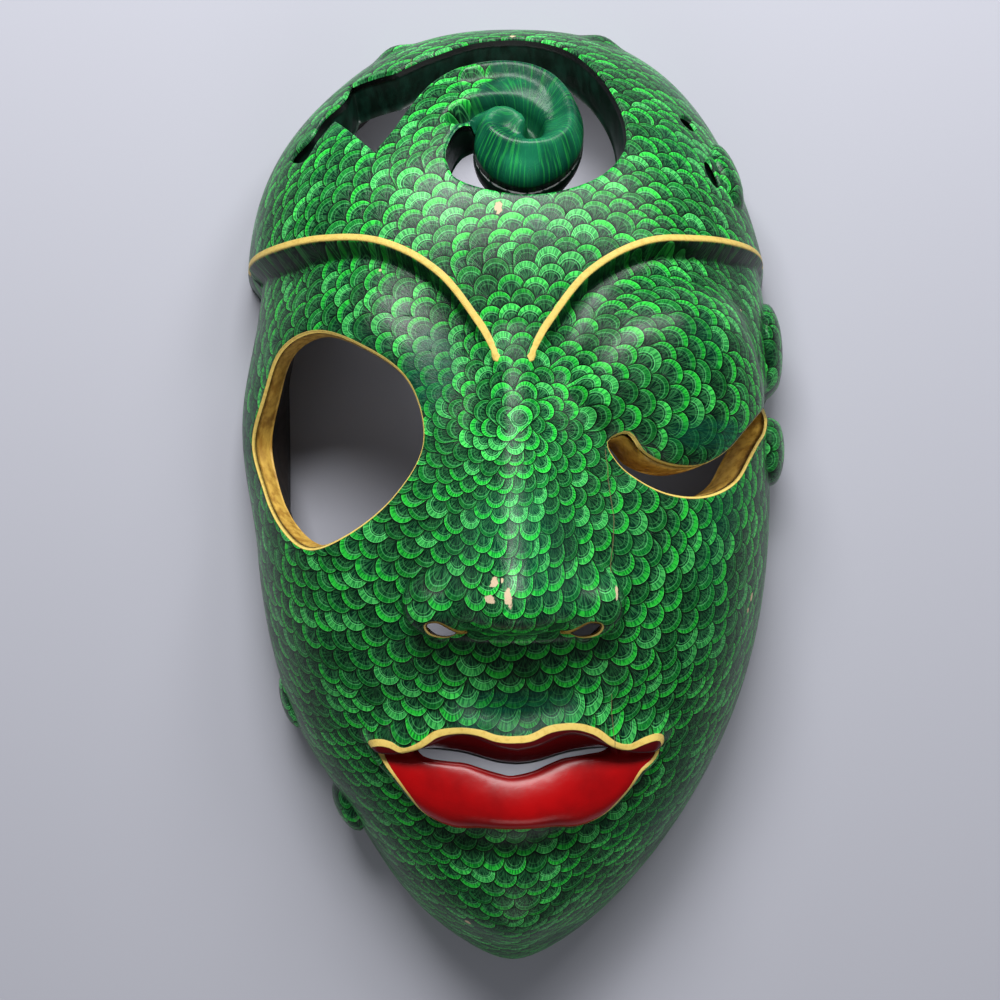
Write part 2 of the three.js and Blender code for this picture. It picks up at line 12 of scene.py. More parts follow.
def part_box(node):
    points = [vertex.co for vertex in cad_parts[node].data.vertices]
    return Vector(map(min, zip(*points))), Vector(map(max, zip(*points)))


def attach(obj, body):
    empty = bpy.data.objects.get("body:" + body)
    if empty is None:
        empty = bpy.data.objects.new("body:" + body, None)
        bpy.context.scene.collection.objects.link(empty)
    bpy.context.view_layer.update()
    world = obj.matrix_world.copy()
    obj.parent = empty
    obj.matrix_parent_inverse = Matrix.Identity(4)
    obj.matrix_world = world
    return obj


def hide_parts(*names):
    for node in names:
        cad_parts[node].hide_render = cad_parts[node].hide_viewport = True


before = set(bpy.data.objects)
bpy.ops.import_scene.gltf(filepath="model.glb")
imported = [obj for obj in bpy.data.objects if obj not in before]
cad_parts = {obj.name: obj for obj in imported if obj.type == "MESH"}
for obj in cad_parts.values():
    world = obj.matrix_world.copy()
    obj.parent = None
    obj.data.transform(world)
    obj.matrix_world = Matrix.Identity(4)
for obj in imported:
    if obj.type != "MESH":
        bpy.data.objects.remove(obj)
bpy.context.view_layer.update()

MM = 0.001

# The blank, in millimetres, as in the solid: a hollow egg, flat at the back
HALF_WIDTH = 72.0
CROWN_REACH = 121.5
CHIN_REACH = 136.5
SHELL_DEPTH = 62.0
WALL = 9.0
NOSE_HOLLOW = 9.0
CROWN_POWER = 3.3
CROWN_ROOT = 0.43
CHIN_TAPER = 0.84
TAPER_POWER = 2.5
CHIN_POWER = 24
SIDE_POWER = 0.72

# Heights of the carving over the blank
FOREHEAD_PROUD = 2.0
TEMPLE_PROUD = 4.0
CROWN_FALL = 2.6
BROW_STEP = 5.5
BROW_END_STEP = 2.2
LID_PROUD = 8.0
NOSE_PROUD = 22.0
WING_PROUD = 10.0
CHEEK_PROUD = 2.5
UPPER_LIP_PROUD = 4.5
UPPER_LIP_TUCK = 4.0
LOWER_LIP_PROUD = 8.5
LIP_GROOVE = 2.5
CHIN_PROUD = 4.0
JAW_LEAN = 2.6
CURL_CREST = 2.4
CURL_DISH = 2.0
CURL_TRENCH = 6.0
CURL_ROUNDING = 6.0
SIDE_LEAF_PROUD = 4.5
SIDE_BULGE_PROUD = 4.0
SIDE_NOTCH_DEEP = 3.5
BAND_LEAF_PROUD = 1.6

# The carving is drawn on the blank unrolled flat, in millimetres from the middle of
# the face. Lines of heights are [place, height] pairs
BROW_RUN = 1.6
SOCKET_FADE = 26.0
BROW_SAG = 6.0
BROW_SAG_FROM = 45.0
BROW_SAG_TO = 100.0
FOREHEAD_RISE = (20, 62)
BROW_ROOT = (0, 12)
BROW_DEEPENS = (6, 26)
BROW_SHALLOWS = (70, 100)
BROW_LINE = [(4, 27), (9, 36.5), (20, 51), (36, 61.5), (55, 67), (75, 73), (100, 82.5)]
NOSE_PROFILE = [
    (38, 0, 9), (24, 0.12, 11), (10, 0.28, 15), (-8, 0.52, 19), (-22, 0.8, 23),
    (-29, 0.98, 26), (-34, 0.96, 27), (-38, 0.66, 26), (-41.5, 0.22, 25), (-45, 0, 24),
]
WING = (19, -34.5, 10, 9.5)
LIP_MIDLINE = 1.0
LIP_HALF_WIDTH = 45.0
UPPER_CREST = [(0, -73.5), (5, -72.5), (13, -69.5), (18, -70.5), (26, -75.5), (34, -79), (45, -81)]
LOWER_EDGE = [(0, -104.5), (10, -105.5), (18, -107.5), (26, -105.5), (31, -101), (35, -95), (45, -83)]
MOUTH_SEAM = [
    (0, -84.4), (5, -83.9), (8.5, -83.2), (12, -82.2), (16, -81.4), (24, -81), (34, -81.2), (45, -82),
]
LIP_APRON = 10.0
LIP_CORNER = 38.0
LIP_ROUND_POWER = 0.75
LEAST_LIP = 0.1

# Rounded forms: middle, half width, half height, and a share of the height
LID = (50, 30, 36, 30)
LID_SOFT_POWER = 1.3
LID_SHARP_POWER = 0.5
CHEEK = (50, -40, 42, 48)
NOSE_HOLLOW_FORM = (0, -28, 30, 34)
CHIN = (0, -141, 34, 34)
CHIN_DIP = (0, -114, 28, 9)
LEAN_JAW = (-66, -140, 46, 54)
TEMPLE = (-94, 98, 66, 66)
CROWN_SIDE = (84, 124, 80, 80)
SIDE_LEAVES = [
    (103, 48, 11, 19, 0.95), (104, 8, 11, 14, 0.9), (78, 107, 8, 15, 0.6),
    (-93, -96, 9, 11, 0.5), (-68, -138, 9, 12, 0.9),
]
SIDE_BULGE = (-112, 18, 30, 54)
SIDE_NOTCH = (103, 26, 17, 8)
BAND_LEAVES = [(-47, 164, 11, 8, 1), (35, 168, 11, 8, 1)]

# Openings, as closed smooth loops, anticlockwise
ROUND_EYE = [
    (-60, 41), (-77, 38), (-88, 25), (-95.5, 9), (-86, -9), (-73, -19), (-60, -23),
    (-46, -18), (-32, -7), (-24, 7), (-28, 23), (-42, 34),
]
SLIT_EYE = [
    (25, 7), (28, 1.5), (34, -3), (42, -6.5), (52, -7.8), (62, -6.4), (71, -2.6), (78, 4),
    (84.5, 9.5), (92, 14.5), (94.5, 19), (90, 21.5), (81, 20), (73, 16), (66.5, 11), (60, 5), (52, 1),
    (42, 1), (34, 4), (28.5, 9),
]
MOUTH = [
    (29, -81), (22.7, -80.7), (14.6, -81.6), (11, -82.3), (7.7, -83.4), (4.7, -83.9), (0.2, -83.8),
    (-4.7, -83.6), (-9.5, -82.4), (-12.5, -81.6), (-16.5, -81), (-22.7, -80.7), (-29, -81),
    (-26.7, -82.6), (-23.7, -83.2), (-20.8, -83.3), (-17.3, -83.4), (-13.9, -83.5), (-10.6, -84.2),
    (-7.2, -85.1), (-3.8, -85.8), (-0.5, -86.2), (3, -85.9), (6.4, -85.3), (10.3, -84.1), (14.4, -82.9),
    (21.4, -82.3), (26.2, -82),
]
NOSTRIL = [
    (-12.3, -42.4), (-15.4, -38.4), (-18.3, -36.6), (-21.2, -37.6), (-20.8, -40.2), (-18.3, -42),
    (-15.4, -43),
]
SLOT_HIGH = [(57, 120.6), (58, 117.2), (60.4, 116.2), (64, 119.4), (62.6, 123), (59.3, 123.2)]
SLOT_LOW = [(64, 103.2), (63.2, 96.4), (65.8, 92.6), (68.8, 94.6), (68, 101), (66.2, 104.6)]
CROWN_EDGE = [
    (-19.3, 88), (-16.5, 81.5), (-8, 77), (5, 75), (17, 78), (26, 84), (33, 95), (34, 107), (31, 122),
    (26, 134), (17, 147), (3, 154), (-12, 152), (-25, 144), (-40, 135),
]
LEAF_EDGE = [(-58, 138), (-58, 126), (-64, 119), (-67, 110), (-74, 104), (-67, 99), (-63, 106)]
LEAF_TIP = (-58, 114)
CURL_ROOT = (-41, 94)
CURL_EDGE = [
    (-36, 102), (-31.5, 112), (-26, 122), (-18, 129.5), (-9, 132.5), (0, 132), (8, 129.5), (15, 124),
    (20, 116), (22, 108), (21.5, 100), (19, 93), (13, 85), (4, 81), (-5, 84), (-10, 90), (-12, 97),
    (-11.2, 102),
]
CURL_CROOK = [(-12.6, 103), (-15.5, 101), (-18, 96.5), (-19.3, 92)]
CURL_CENTRE = (4, 104)
CURL_RADIUS = 27.0

# The curl's crest winds in to a knob, and a trench divides the knob from the arm over it
CURL_LINE = [
    (-15, 124.5), (-7, 126.5), (0, 127), (6.5, 124.5), (12, 119.5), (15.5, 112), (16.5, 104), (15.5, 97),
    (11.5, 92.5), (5, 90.6), (-1, 91.8), (-5.5, 95.5), (-7.8, 99.5), (-6, 103), (-2.5, 105.3), (1, 104.3),
    (2.8, 101),
]
TRENCH_LINE = [(-17, 104.5), (-12, 108.5), (-6, 109.6), (0, 109.4), (4.8, 106.4), (6.6, 102), (5.6, 98.4)]
CREST_REACH = 5.0
DISH_REACH = 15.0
TRENCH_FLOOR = 1.2
TRENCH_REACH = 3.6

# How an opening goes through the wall: 1 is square to the wall and 0 is straight in,
# across the face on its left half and on its right, then along it, and the last value
# tips it to the chin
SQUARE_IN = (1.0, 1.0, 1.0, 0.0)
CROWN_SLANT = (0.5, 1.0, 1.0, 0.0)
STRAIGHT_IN = (0.0, 0.0, 0.0, 0.0)
MOUTH_SLANT = (0.0, 0.0, 0.0, 0.16)
EYE_SLANT = (0.5, 0.5, 0.25, 0.0)
SLIT_SLANT = (1.0, 1.0, 0.6, 0.2)
MIDDLE_BLEND = 8.0

# Mesh steps
LOOP_STEP = 1.2
NOSTRIL_STEP = 0.6
LINE_STEP = 1.3
FIELD_STEP = 2.3
FINE_STEP = 1.25
INSIDE_STEP = 4.5
RIM_STEPS = 420
EDGE_RADIUS = 0.9
WALL_ROWS = 5
WALL_PINCH = 0.35
TABLE_STEPS = 1441
CURVE_STEPS = 16
HEIGHT_STEPS = 400
FIELD_REACH = 215
FIELD_GAP = 0.75
LINE_GAP = 0.2
FINE_MARGIN = 0.8
COARSE_MARGIN = 1.2
INSIDE_MARGIN = 2
RIM_MARGIN = 1.2
FINE_RIM_MARGIN = 1
CUT_REACH = 12
TINY = 1e-9
MERGE_WITHIN = 1e-5

# Counts of points along the straight edges of the crown's opening
TIP_POINTS = 6
STEM_POINTS = 20
ROOT_POINTS = 8
CROOK_POINTS = 9
BRIDGE_POINTS = 15

# Rows of points beside the lines and loops, as distances to their left
BROW_ROWS = [-3, -2.2, -1.6, -1.2, -0.8, -0.4, 0, 0.6, 1.2, 1.8, 2.6, 3.6]
LIP_ROWS = [-1.6, -0.8, 0, 0.6, 1.2, 2]
CREST_ROWS = [-1.6, -0.8, 0, 0.8, 1.6]
TRENCH_ROWS = [-3.2, -2.4, -1.6, 0, 1.6, 2.4, 3.2]
EDGE_ROWS = [-0.25, -0.55, -0.95, -1.7]
FORM_RINGS = (0.93, 0.98, 1.02)
FORM_TURNS = 60
LIP_STEP = 1.0
CURL_STEP = 0.8

rng = random.Random(7)


def smoothstep(x, low, high):
    t = np.clip((x - low) / (high - low), 0, 1)
    return t * t * (3 - 2 * t)


def lerp(a, b, t):
    return a + (b - a) * t


def hill(distance):
    return np.where(distance < 1, 0.5 + 0.5 * np.cos(np.pi * np.clip(distance, 0, 1)), 0)


def reach_in(form, u, v):
    return np.hypot((u - form[0]) / form[2], (v - form[1]) / form[3])


def mound(form, u, v):
    return hill(reach_in(form, u, v))


def dome(form, u, v):
    return np.sqrt(np.maximum(1 - reach_in(form, u, v) ** 2, 0))


def height_at(line, x):
    """Height of a smooth line through (x, y) points, rising in x."""
    xs = np.array([p[0] for p in line], float)
    ys = np.array([p[1] for p in line], float)
    last = len(xs) - 1
    before = np.maximum(np.arange(last + 1) - 1, 0)
    after = np.minimum(np.arange(last + 1) + 1, last)
    slopes = (ys[after] - ys[before]) / (xs[after] - xs[before])
    x = np.clip(x, xs[0], xs[-1])
    i = np.clip(np.searchsorted(xs, x, side="right") - 1, 0, last - 1)
    run = xs[i + 1] - xs[i]
    t = (x - xs[i]) / run
    t2, t3 = t * t, t * t * t
    return ((2 * t3 - 3 * t2 + 1) * ys[i] + (t3 - 2 * t2 + t) * slopes[i] * run
            + (3 * t2 - 2 * t3) * ys[i + 1] + (t3 - t2) * slopes[i + 1] * run)


def smooth_curve(points, closed, step):
    """Evenly spaced points on a centripetal curve through the points."""
    pts = np.array(points, float)
    n = len(pts)
    dense = []
    for i in range(n if closed else n - 1):
        if closed:
            p0, p1, p2, p3 = (pts[(i + k) % n] for k in (-1, 0, 1, 2))
        else:
            p1, p2 = pts[i], pts[i + 1]
            p0 = pts[i - 1] if i > 0 else 2 * p1 - p2
            p3 = pts[i + 2] if i + 2 < n else 2 * p2 - p1
        d1, d2, d3 = (math.sqrt(np.hypot(*(b - a))) or 1 for a, b in ((p0, p1), (p1, p2), (p2, p3)))
        m1 = ((p1 - p0) / d1 - (p2 - p0) / (d1 + d2) + (p2 - p1) / d2) * d2
        m2 = ((p2 - p1) / d2 - (p3 - p1) / (d2 + d3) + (p3 - p2) / d3) * d2
        for t in np.arange(0, 1, 1 / CURVE_STEPS):
            t2, t3 = t * t, t * t * t
            dense.append((2 * t3 - 3 * t2 + 1) * p1 + (t3 - 2 * t2 + t) * m1
                         + (3 * t2 - 2 * t3) * p2 + (t3 - t2) * m2)
    dense.append(pts[0] if closed else pts[-1])
    dense = np.array(dense)
    arc = np.concatenate([[0], np.cumsum(np.hypot(*np.diff(dense, axis=0).T))])
    count = max(3, round(arc[-1] / step))
    along = np.linspace(0, arc[-1], count + 1)
    even = np.stack([np.interp(along, arc, dense[:, k]) for k in (0, 1)], axis=1)
    return even[:-1] if closed else even


def distance_to(line, u, v, closed=False):
    """Distance from places to a line of points."""
    line = np.asarray(line, float)
    if closed:
        line = np.vstack([line, line[:1]])
    best = np.full(np.shape(u), np.inf)
    for (au, av), (bu, bv) in zip(line[:-1], line[1:]):
        du, dv = bu - au, bv - av
        t = np.clip(((u - au) * du + (v - av) * dv) / max(du * du + dv * dv, TINY), 0, 1)
        best = np.minimum(best, np.hypot(u - au - t * du, v - av - t * dv))
    return best


def inside_loop(loop, u, v):
    inside = np.zeros(np.shape(u), bool)
    for (au, av), (bu, bv) in zip(loop, np.roll(loop, -1, axis=0)):
        crosses = (av > v) != (bv > v)
        with np.errstate(divide="ignore", invalid="ignore"):
            at = au + (v - av) * (bu - au) / (bv - av)
        inside ^= crosses & (u < at)
    return inside


def rim_table():
    turn = np.linspace(-math.pi / 2, math.pi / 2, TABLE_STEPS)
    rise = np.sin(turn)
    share = np.abs(rise)
    crown = np.clip(1 - share ** CROWN_POWER, 0, 1) ** CROWN_ROOT
    jaw = (1 - CHIN_TAPER * share ** TAPER_POWER) * np.sqrt(np.clip(1 - share ** CHIN_POWER, 0, 1))
    x = HALF_WIDTH * np.where(rise >= 0, crown, jaw)
    y = np.where(rise >= 0, CROWN_REACH, CHIN_REACH) * rise
    return np.arctan2(y, x), np.hypot(x, y)


RIM_ANGLES, RIM_RADII = rim_table()


def rim_radius(angle):
    return np.interp(np.arcsin(np.clip(np.sin(angle), -1, 1)), RIM_ANGLES, RIM_RADII)


def blank_at(u, v):
    """Outer and inner points of the plain blank at places of the drawing."""
    angle = np.arctan2(v, u)
    radius = rim_radius(angle)
    tilt = np.clip(np.hypot(u, v) / radius, 0, math.pi / 2)
    up = np.clip(np.cos(tilt), 0, 1) ** SIDE_POWER
    flat = radius * np.sin(tilt)
    outer = np.stack([flat * np.cos(angle), flat * np.sin(angle), SHELL_DEPTH * up], axis=-1)
    inward = 1 - WALL / radius
    inner = np.stack([outer[..., 0] * inward, outer[..., 1] * inward, (SHELL_DEPTH - WALL) * up], axis=-1)
    return outer, inner


def brow_sag(u):
    """How far the brow line's end sags on the left."""
    return BROW_SAG * smoothstep(-np.asarray(u, dtype=float), BROW_SAG_FROM, BROW_SAG_TO)


def brow_above(u, v):
    """How far places are above the brow line, square to it."""
    x = np.abs(u)
    slope = (height_at(BROW_LINE, x + 1) - height_at(BROW_LINE, x - 1)) / 2
    return (v - height_at(BROW_LINE, x) + brow_sag(u)) / np.hypot(1, slope)


def brow(u, v):
    x = np.abs(u)
    above = brow_above(u, v)
    layer = FOREHEAD_PROUD * smoothstep(v, *FOREHEAD_RISE)
    middle = smoothstep(x, *BROW_DEEPENS) * (1 - smoothstep(x, *BROW_SHALLOWS))
    step = smoothstep(x, *BROW_ROOT) * lerp(BROW_END_STEP, BROW_STEP, middle)
    socket = (layer - step) * hill(np.maximum(-above, 0) / SOCKET_FADE)
    over = smoothstep(above, -BROW_RUN, 0)
    return lerp(socket, layer, over) + TEMPLE_PROUD * mound(TEMPLE, u, v) * over


def lid(u, v):
    reach = np.minimum(reach_in(LID, u, v), 1)
    sharp = smoothstep(LID[1] - v, -LID[3] / 2, LID[3] / 2)
    return LID_PROUD * (1 - reach * reach) ** lerp(LID_SOFT_POWER, LID_SHARP_POWER, sharp)


def nose(u, v):
    shares = [(-place, share) for place, share, _ in NOSE_PROFILE]
    widths = [(-place, half) for place, _, half in NOSE_PROFILE]
    ridge = NOSE_PROUD * np.maximum(height_at(shares, -v), 0) * hill(np.abs(u) / height_at(widths, -v))
    wing = WING_PROUD * np.sqrt(np.maximum(1 - reach_in(WING, np.abs(u), v) ** 2, 0))
    return np.cbrt(ridge ** 3 + wing ** 3)


def lips(u, v):
    x = np.abs(u - LIP_MIDLINE)
    spread = np.sqrt(np.maximum(1 - (x / LIP_HALF_WIDTH) ** 2, 0))
    crest = height_at(UPPER_CREST, x)
    foot = height_at(LOWER_EDGE, x)
    part = height_at(MOUTH_SEAM, x)
    rise = UPPER_LIP_PROUD * hill(np.maximum(x - LIP_CORNER, 0) / LIP_APRON)
    apron = rise * hill(np.maximum(v - crest, 0) / LIP_APRON)
    seam = lerp(rise, -UPPER_LIP_TUCK, spread)
    upper = lerp(rise, seam, np.clip((crest - v) / (crest - part), 0, 1))
    groove = -LIP_GROOVE * spread
    under = groove * hill(np.maximum(foot - v, 0) / LIP_APRON)
    down = np.clip((part - v) / np.maximum(part - foot, LEAST_LIP), 0, 1)
    lower = lerp(seam, groove, smoothstep(down, 0, 1))
    lower += LOWER_LIP_PROUD * spread * np.sin(np.pi * down) ** LIP_ROUND_POWER
    return np.where(v > crest, apron, np.where(v > part, upper, np.where(v < foot, under, lower)))


CURL_CREST_LINE = smooth_curve(CURL_LINE, False, 1)
CURL_TRENCH_LINE = smooth_curve(TRENCH_LINE, False, 1)
CURL_EDGE_LINE = smooth_curve(CURL_EDGE, False, 1)


def curl(u, v):
    away = np.hypot(u - CURL_CENTRE[0], v - CURL_CENTRE[1])
    on_curl = smoothstep(CURL_RADIUS + CURL_ROUNDING - away, 0, CURL_ROUNDING)
    near = away < CURL_RADIUS + CURL_ROUNDING
    height = np.zeros(np.shape(u))
    u, v, away = u[near], v[near], away[near]
    crest = CURL_CREST * hill(distance_to(CURL_CREST_LINE, u, v) / CREST_REACH)
    dish = CURL_DISH * hill(away / DISH_REACH)
    trench = CURL_TRENCH * (1 - smoothstep(distance_to(CURL_TRENCH_LINE, u, v), TRENCH_FLOOR, TRENCH_REACH))
    to_edge = np.minimum(distance_to(CURL_EDGE_LINE, u, v) / CURL_ROUNDING, 1)
    rounding = CURL_ROUNDING * (1 - np.sqrt(1 - (1 - to_edge) ** 2))
    height[near] = on_curl[near] * (crest - dish - trench - rounding)
    return height


def relief(u, v):
    height = brow(u, v) + lid(u, v) + nose(u, v) + lips(u, v) + curl(u, v)
    height += CHEEK_PROUD * mound(CHEEK, np.abs(u), v)
    height += CHIN_PROUD * mound(CHIN, u, v) - LIP_GROOVE * mound(CHIN_DIP, u, v)
    height -= JAW_LEAN * mound(LEAN_JAW, u, v) + CROWN_FALL * mound(CROWN_SIDE, u, v)
    for leaf in SIDE_LEAVES:
        height += SIDE_LEAF_PROUD * leaf[4] * dome(leaf, u, v)
    height += SIDE_BULGE_PROUD * mound(SIDE_BULGE, u, v) - SIDE_NOTCH_DEEP * mound(SIDE_NOTCH, u, v)
    for leaf in BAND_LEAVES:
        height += BAND_LEAF_PROUD * leaf[4] * mound(leaf, u, v)
    return height


def crown_loop():
    parts = [smooth_curve(CROWN_EDGE, False, LOOP_STEP), smooth_curve(LEAF_EDGE, False, LOOP_STEP)]
    tip = np.linspace(parts[-1][-1], LEAF_TIP, TIP_POINTS)[1:]
    down = np.linspace(LEAF_TIP, CURL_ROOT, STEM_POINTS)[1:-1]
    up = np.linspace(CURL_ROOT, CURL_EDGE[0], ROOT_POINTS)[:-1]
    parts += [tip, down, up]
    parts += [smooth_curve(CURL_EDGE, False, LOOP_STEP), smooth_curve(CURL_CROOK, False, LOOP_STEP)]
    parts += [np.linspace(CURL_CROOK[-1], CROWN_EDGE[0], CROOK_POINTS)[1:-1]]
    bridge = np.linspace(CROWN_EDGE[-1], LEAF_EDGE[0], BRIDGE_POINTS)[1:-1]
    parts.insert(1, bridge)
    return np.vstack(parts)


OPENINGS = [(name, smooth_curve(loop, True, step), slant) for name, loop, step, slant in (
    ("round_eye", ROUND_EYE, LOOP_STEP, EYE_SLANT),
    ("slit_eye", SLIT_EYE, LOOP_STEP, SLIT_SLANT),
    ("mouth", MOUTH, LOOP_STEP, MOUTH_SLANT),
    ("nostril", NOSTRIL, NOSTRIL_STEP, STRAIGHT_IN),
    ("nostril", [(-u, v) for u, v in reversed(NOSTRIL)], NOSTRIL_STEP, STRAIGHT_IN),
    ("slot", SLOT_HIGH, LOOP_STEP, SQUARE_IN),
    ("slot", SLOT_LOW, LOOP_STEP, SQUARE_IN),
)]
OPENINGS.append(("crown", crown_loop(), CROWN_SLANT))


def beside(line, offsets, closed=False):
    """Places side by side with a line, at distances to its left."""
    line = np.asarray(line, float)
    if closed:
        run = np.roll(line, -1, axis=0) - np.roll(line, 1, axis=0)
    else:
        run = np.gradient(line, axis=0)
    run /= np.hypot(run[:, 0], run[:, 1])[:, None]
    left = np.stack([-run[:, 1], run[:, 0]], axis=1)
    return np.vstack([line + left * offset for offset in offsets])


def along_heights(line, midline, side, step):
    xs = np.linspace(line[0][0], line[-1][0], HEIGHT_STEPS)
    ys = height_at(line, xs)
    arc = np.concatenate([[0], np.cumsum(np.hypot(np.diff(xs), np.diff(ys)))])
    at = np.interp(np.linspace(0, arc[-1], int(arc[-1] / step) + 1), arc, xs)
    return np.stack([midline + side * at, height_at(line, at)], axis=1)


def line_points():
    rows = []
    for side in (1, -1):
        brow_line = along_heights(BROW_LINE, 0, side, LINE_STEP)
        brow_line[:, 1] -= brow_sag(brow_line[:, 0])
        rows.append(beside(brow_line, [side * r for r in BROW_ROWS]))
        for line in (UPPER_CREST, LOWER_EDGE):
            line = along_heights(line, LIP_MIDLINE, side, LIP_STEP)
            rows.append(beside(line, [side * r for r in LIP_ROWS]))
    swing = np.linspace(0, 2 * np.pi, FORM_TURNS, endpoint=False)
    wings = [(side * WING[0],) + WING[1:] for side in (1, -1)]
    for form in wings + SIDE_LEAVES:
        for share in FORM_RINGS:
            rows.append(np.stack([form[0] + share * form[2] * np.cos(swing),
                                  form[1] + share * form[3] * np.sin(swing)], axis=1))
    rows.append(beside(smooth_curve(CURL_LINE, False, CURL_STEP), CREST_ROWS))
    rows.append(beside(smooth_curve(TRENCH_LINE, False, CURL_STEP), TRENCH_ROWS))
    for _, loop, _ in OPENINGS:
        rows.append(beside(loop, EDGE_ROWS, closed=True))
    return np.vstack(rows)


def field(step):
    """Points in even triangles all over the drawing."""
    row_step = step * math.sqrt(0.75)
    rows = []
    for k, v in enumerate(np.arange(-FIELD_REACH, FIELD_REACH, row_step)):
        us = np.arange(-FIELD_REACH + (k % 2) * step / 2, FIELD_REACH, step)
        rows.append(np.stack([us, np.full(len(us), v)], axis=1))
    return np.vstack(rows)


def within_rim(points, margin):
    angle = np.arctan2(points[:, 1], points[:, 0])
    return np.hypot(points[:, 0], points[:, 1]) + margin < rim_radius(angle) * math.pi / 2


def thinned(taken, extra, gap):
    """The extra points that keep clear of the points already taken."""
    tree = kdtree.KDTree(len(taken))
    for i, (u, v) in enumerate(taken):
        tree.insert((u, v, 0), i)
    tree.balance()
    keep = [p for p in extra if tree.find((p[0], p[1], 0))[2] > gap]
    return np.vstack([taken, keep]) if keep else taken


# Forms that need the finer points
FINE_FIELDS = [
    (0, -28, 34, 34), (0, -90, 54, 26), (54, 14, 42, 30), (4, 106, 30, 32), (0, 36, 30, 20),
    (104, 46, 14, 22), (104, 5, 12, 18), (-106, 26, 12, 24), (-106, -12, 12, 22),
]


def rim_ring():
    angle = np.linspace(0, 2 * math.pi, RIM_STEPS, endpoint=False)
    radius = rim_radius(angle) * math.pi / 2
    return np.stack([radius * np.cos(angle), radius * np.sin(angle)], axis=1)


def clear_of_edges(points, rim_margin, margin):
    points = points[within_rim(points, rim_margin)]
    keep = np.ones(len(points), bool)
    for _, loop, _ in OPENINGS:
        inside = inside_loop(loop, points[:, 0], points[:, 1])
        near = distance_to(loop, points[:, 0], points[:, 1], closed=True) < margin
        keep &= ~(inside | near)
    return points[keep]


def sheet(ring, loops, points):
    """Triangles over the drawing, with the rim and the openings as its edges."""
    places = [Vector(p) for p in ring]
    edges = [(i, (i + 1) % len(ring)) for i in range(len(ring))]
    for loop in loops:
        start = len(places)
        places += [Vector(p) for p in loop]
        edges += [(start + i, start + (i + 1) % len(loop)) for i in range(len(loop))]
    places += [Vector(p) for p in points]
    verts, _, faces, origin, _, _ = delaunay_2d_cdt(places, edges, [], 0, MERGE_WITHIN)
    where = np.array([(p.x, p.y) for p in verts])
    faces = np.array([face for face in faces if len(face) == 3])
    middle = where[faces].mean(axis=1)
    keep = within_rim(middle, 0)
    for loop in loops:
        keep &= ~inside_loop(loop, middle[:, 0], middle[:, 1])
    faces = faces[keep]
    a, b, c = (where[faces[:, k]] for k in range(3))
    turn = (b[:, 0] - a[:, 0]) * (c[:, 1] - a[:, 1]) - (b[:, 1] - a[:, 1]) * (c[:, 0] - a[:, 0])
    faces[turn < 0] = faces[turn < 0][:, ::-1]
    index = {}
    for new, olds in enumerate(origin):
        for old in olds:
            index[old] = new
    return where, faces, index


def cut_end(edge, wall, height, slant):
    """Where a cut that starts on the carved surface comes out inside."""
    left, right, along, droop = slant
    depth = 1 + height / np.linalg.norm(wall, axis=-1)
    across = lerp(left, right, smoothstep(edge[..., 0], -MIDDLE_BLEND, MIDDLE_BLEND))
    x = edge[..., 0] - depth * across * wall[..., 0]
    y = edge[..., 1] - depth * (along * wall[..., 1] + droop * WALL)
    return np.stack([x, y, edge[..., 2] - depth * wall[..., 2]], axis=-1)


def rounded_edge(u, v):
    """How far the surface drops where it rolls over the edge of an opening."""
    drop = np.zeros(np.shape(u))
    for _, loop, _ in OPENINGS:
        near = distance_to(loop, u, v, closed=True)
        short = np.clip(1 - near / EDGE_RADIUS, 0, 1)
        drop = np.maximum(drop, EDGE_RADIUS * (1 - np.sqrt(1 - short ** 2)))
    return drop


def outward(outer, inner):
    way = outer - inner
    return way / np.linalg.norm(way, axis=-1, keepdims=True)


def outer_surface(where):
    u, v = where[:, 0], where[:, 1]
    outer, inner = blank_at(u, v)
    return outer + outward(outer, inner) * (relief(u, v) - rounded_edge(u, v))[:, None]


def inner_surface(where):
    u, v = where[:, 0], where[:, 1]
    outer, inner = blank_at(u, v)
    hollow = NOSE_HOLLOW * mound(NOSE_HOLLOW_FORM, u, v)
    way = outward(outer, inner)
    places = inner + way * hollow[:, None]
    height = relief(u, v)
    edge = outer + way * height[:, None]
    for _, loop, slant in OPENINGS:
        share = 1 - smoothstep(distance_to(loop, u, v, closed=True), 0, CUT_REACH)
        places += (cut_end(edge, outer - inner, height, slant) - inner) * share[:, None]
    return places


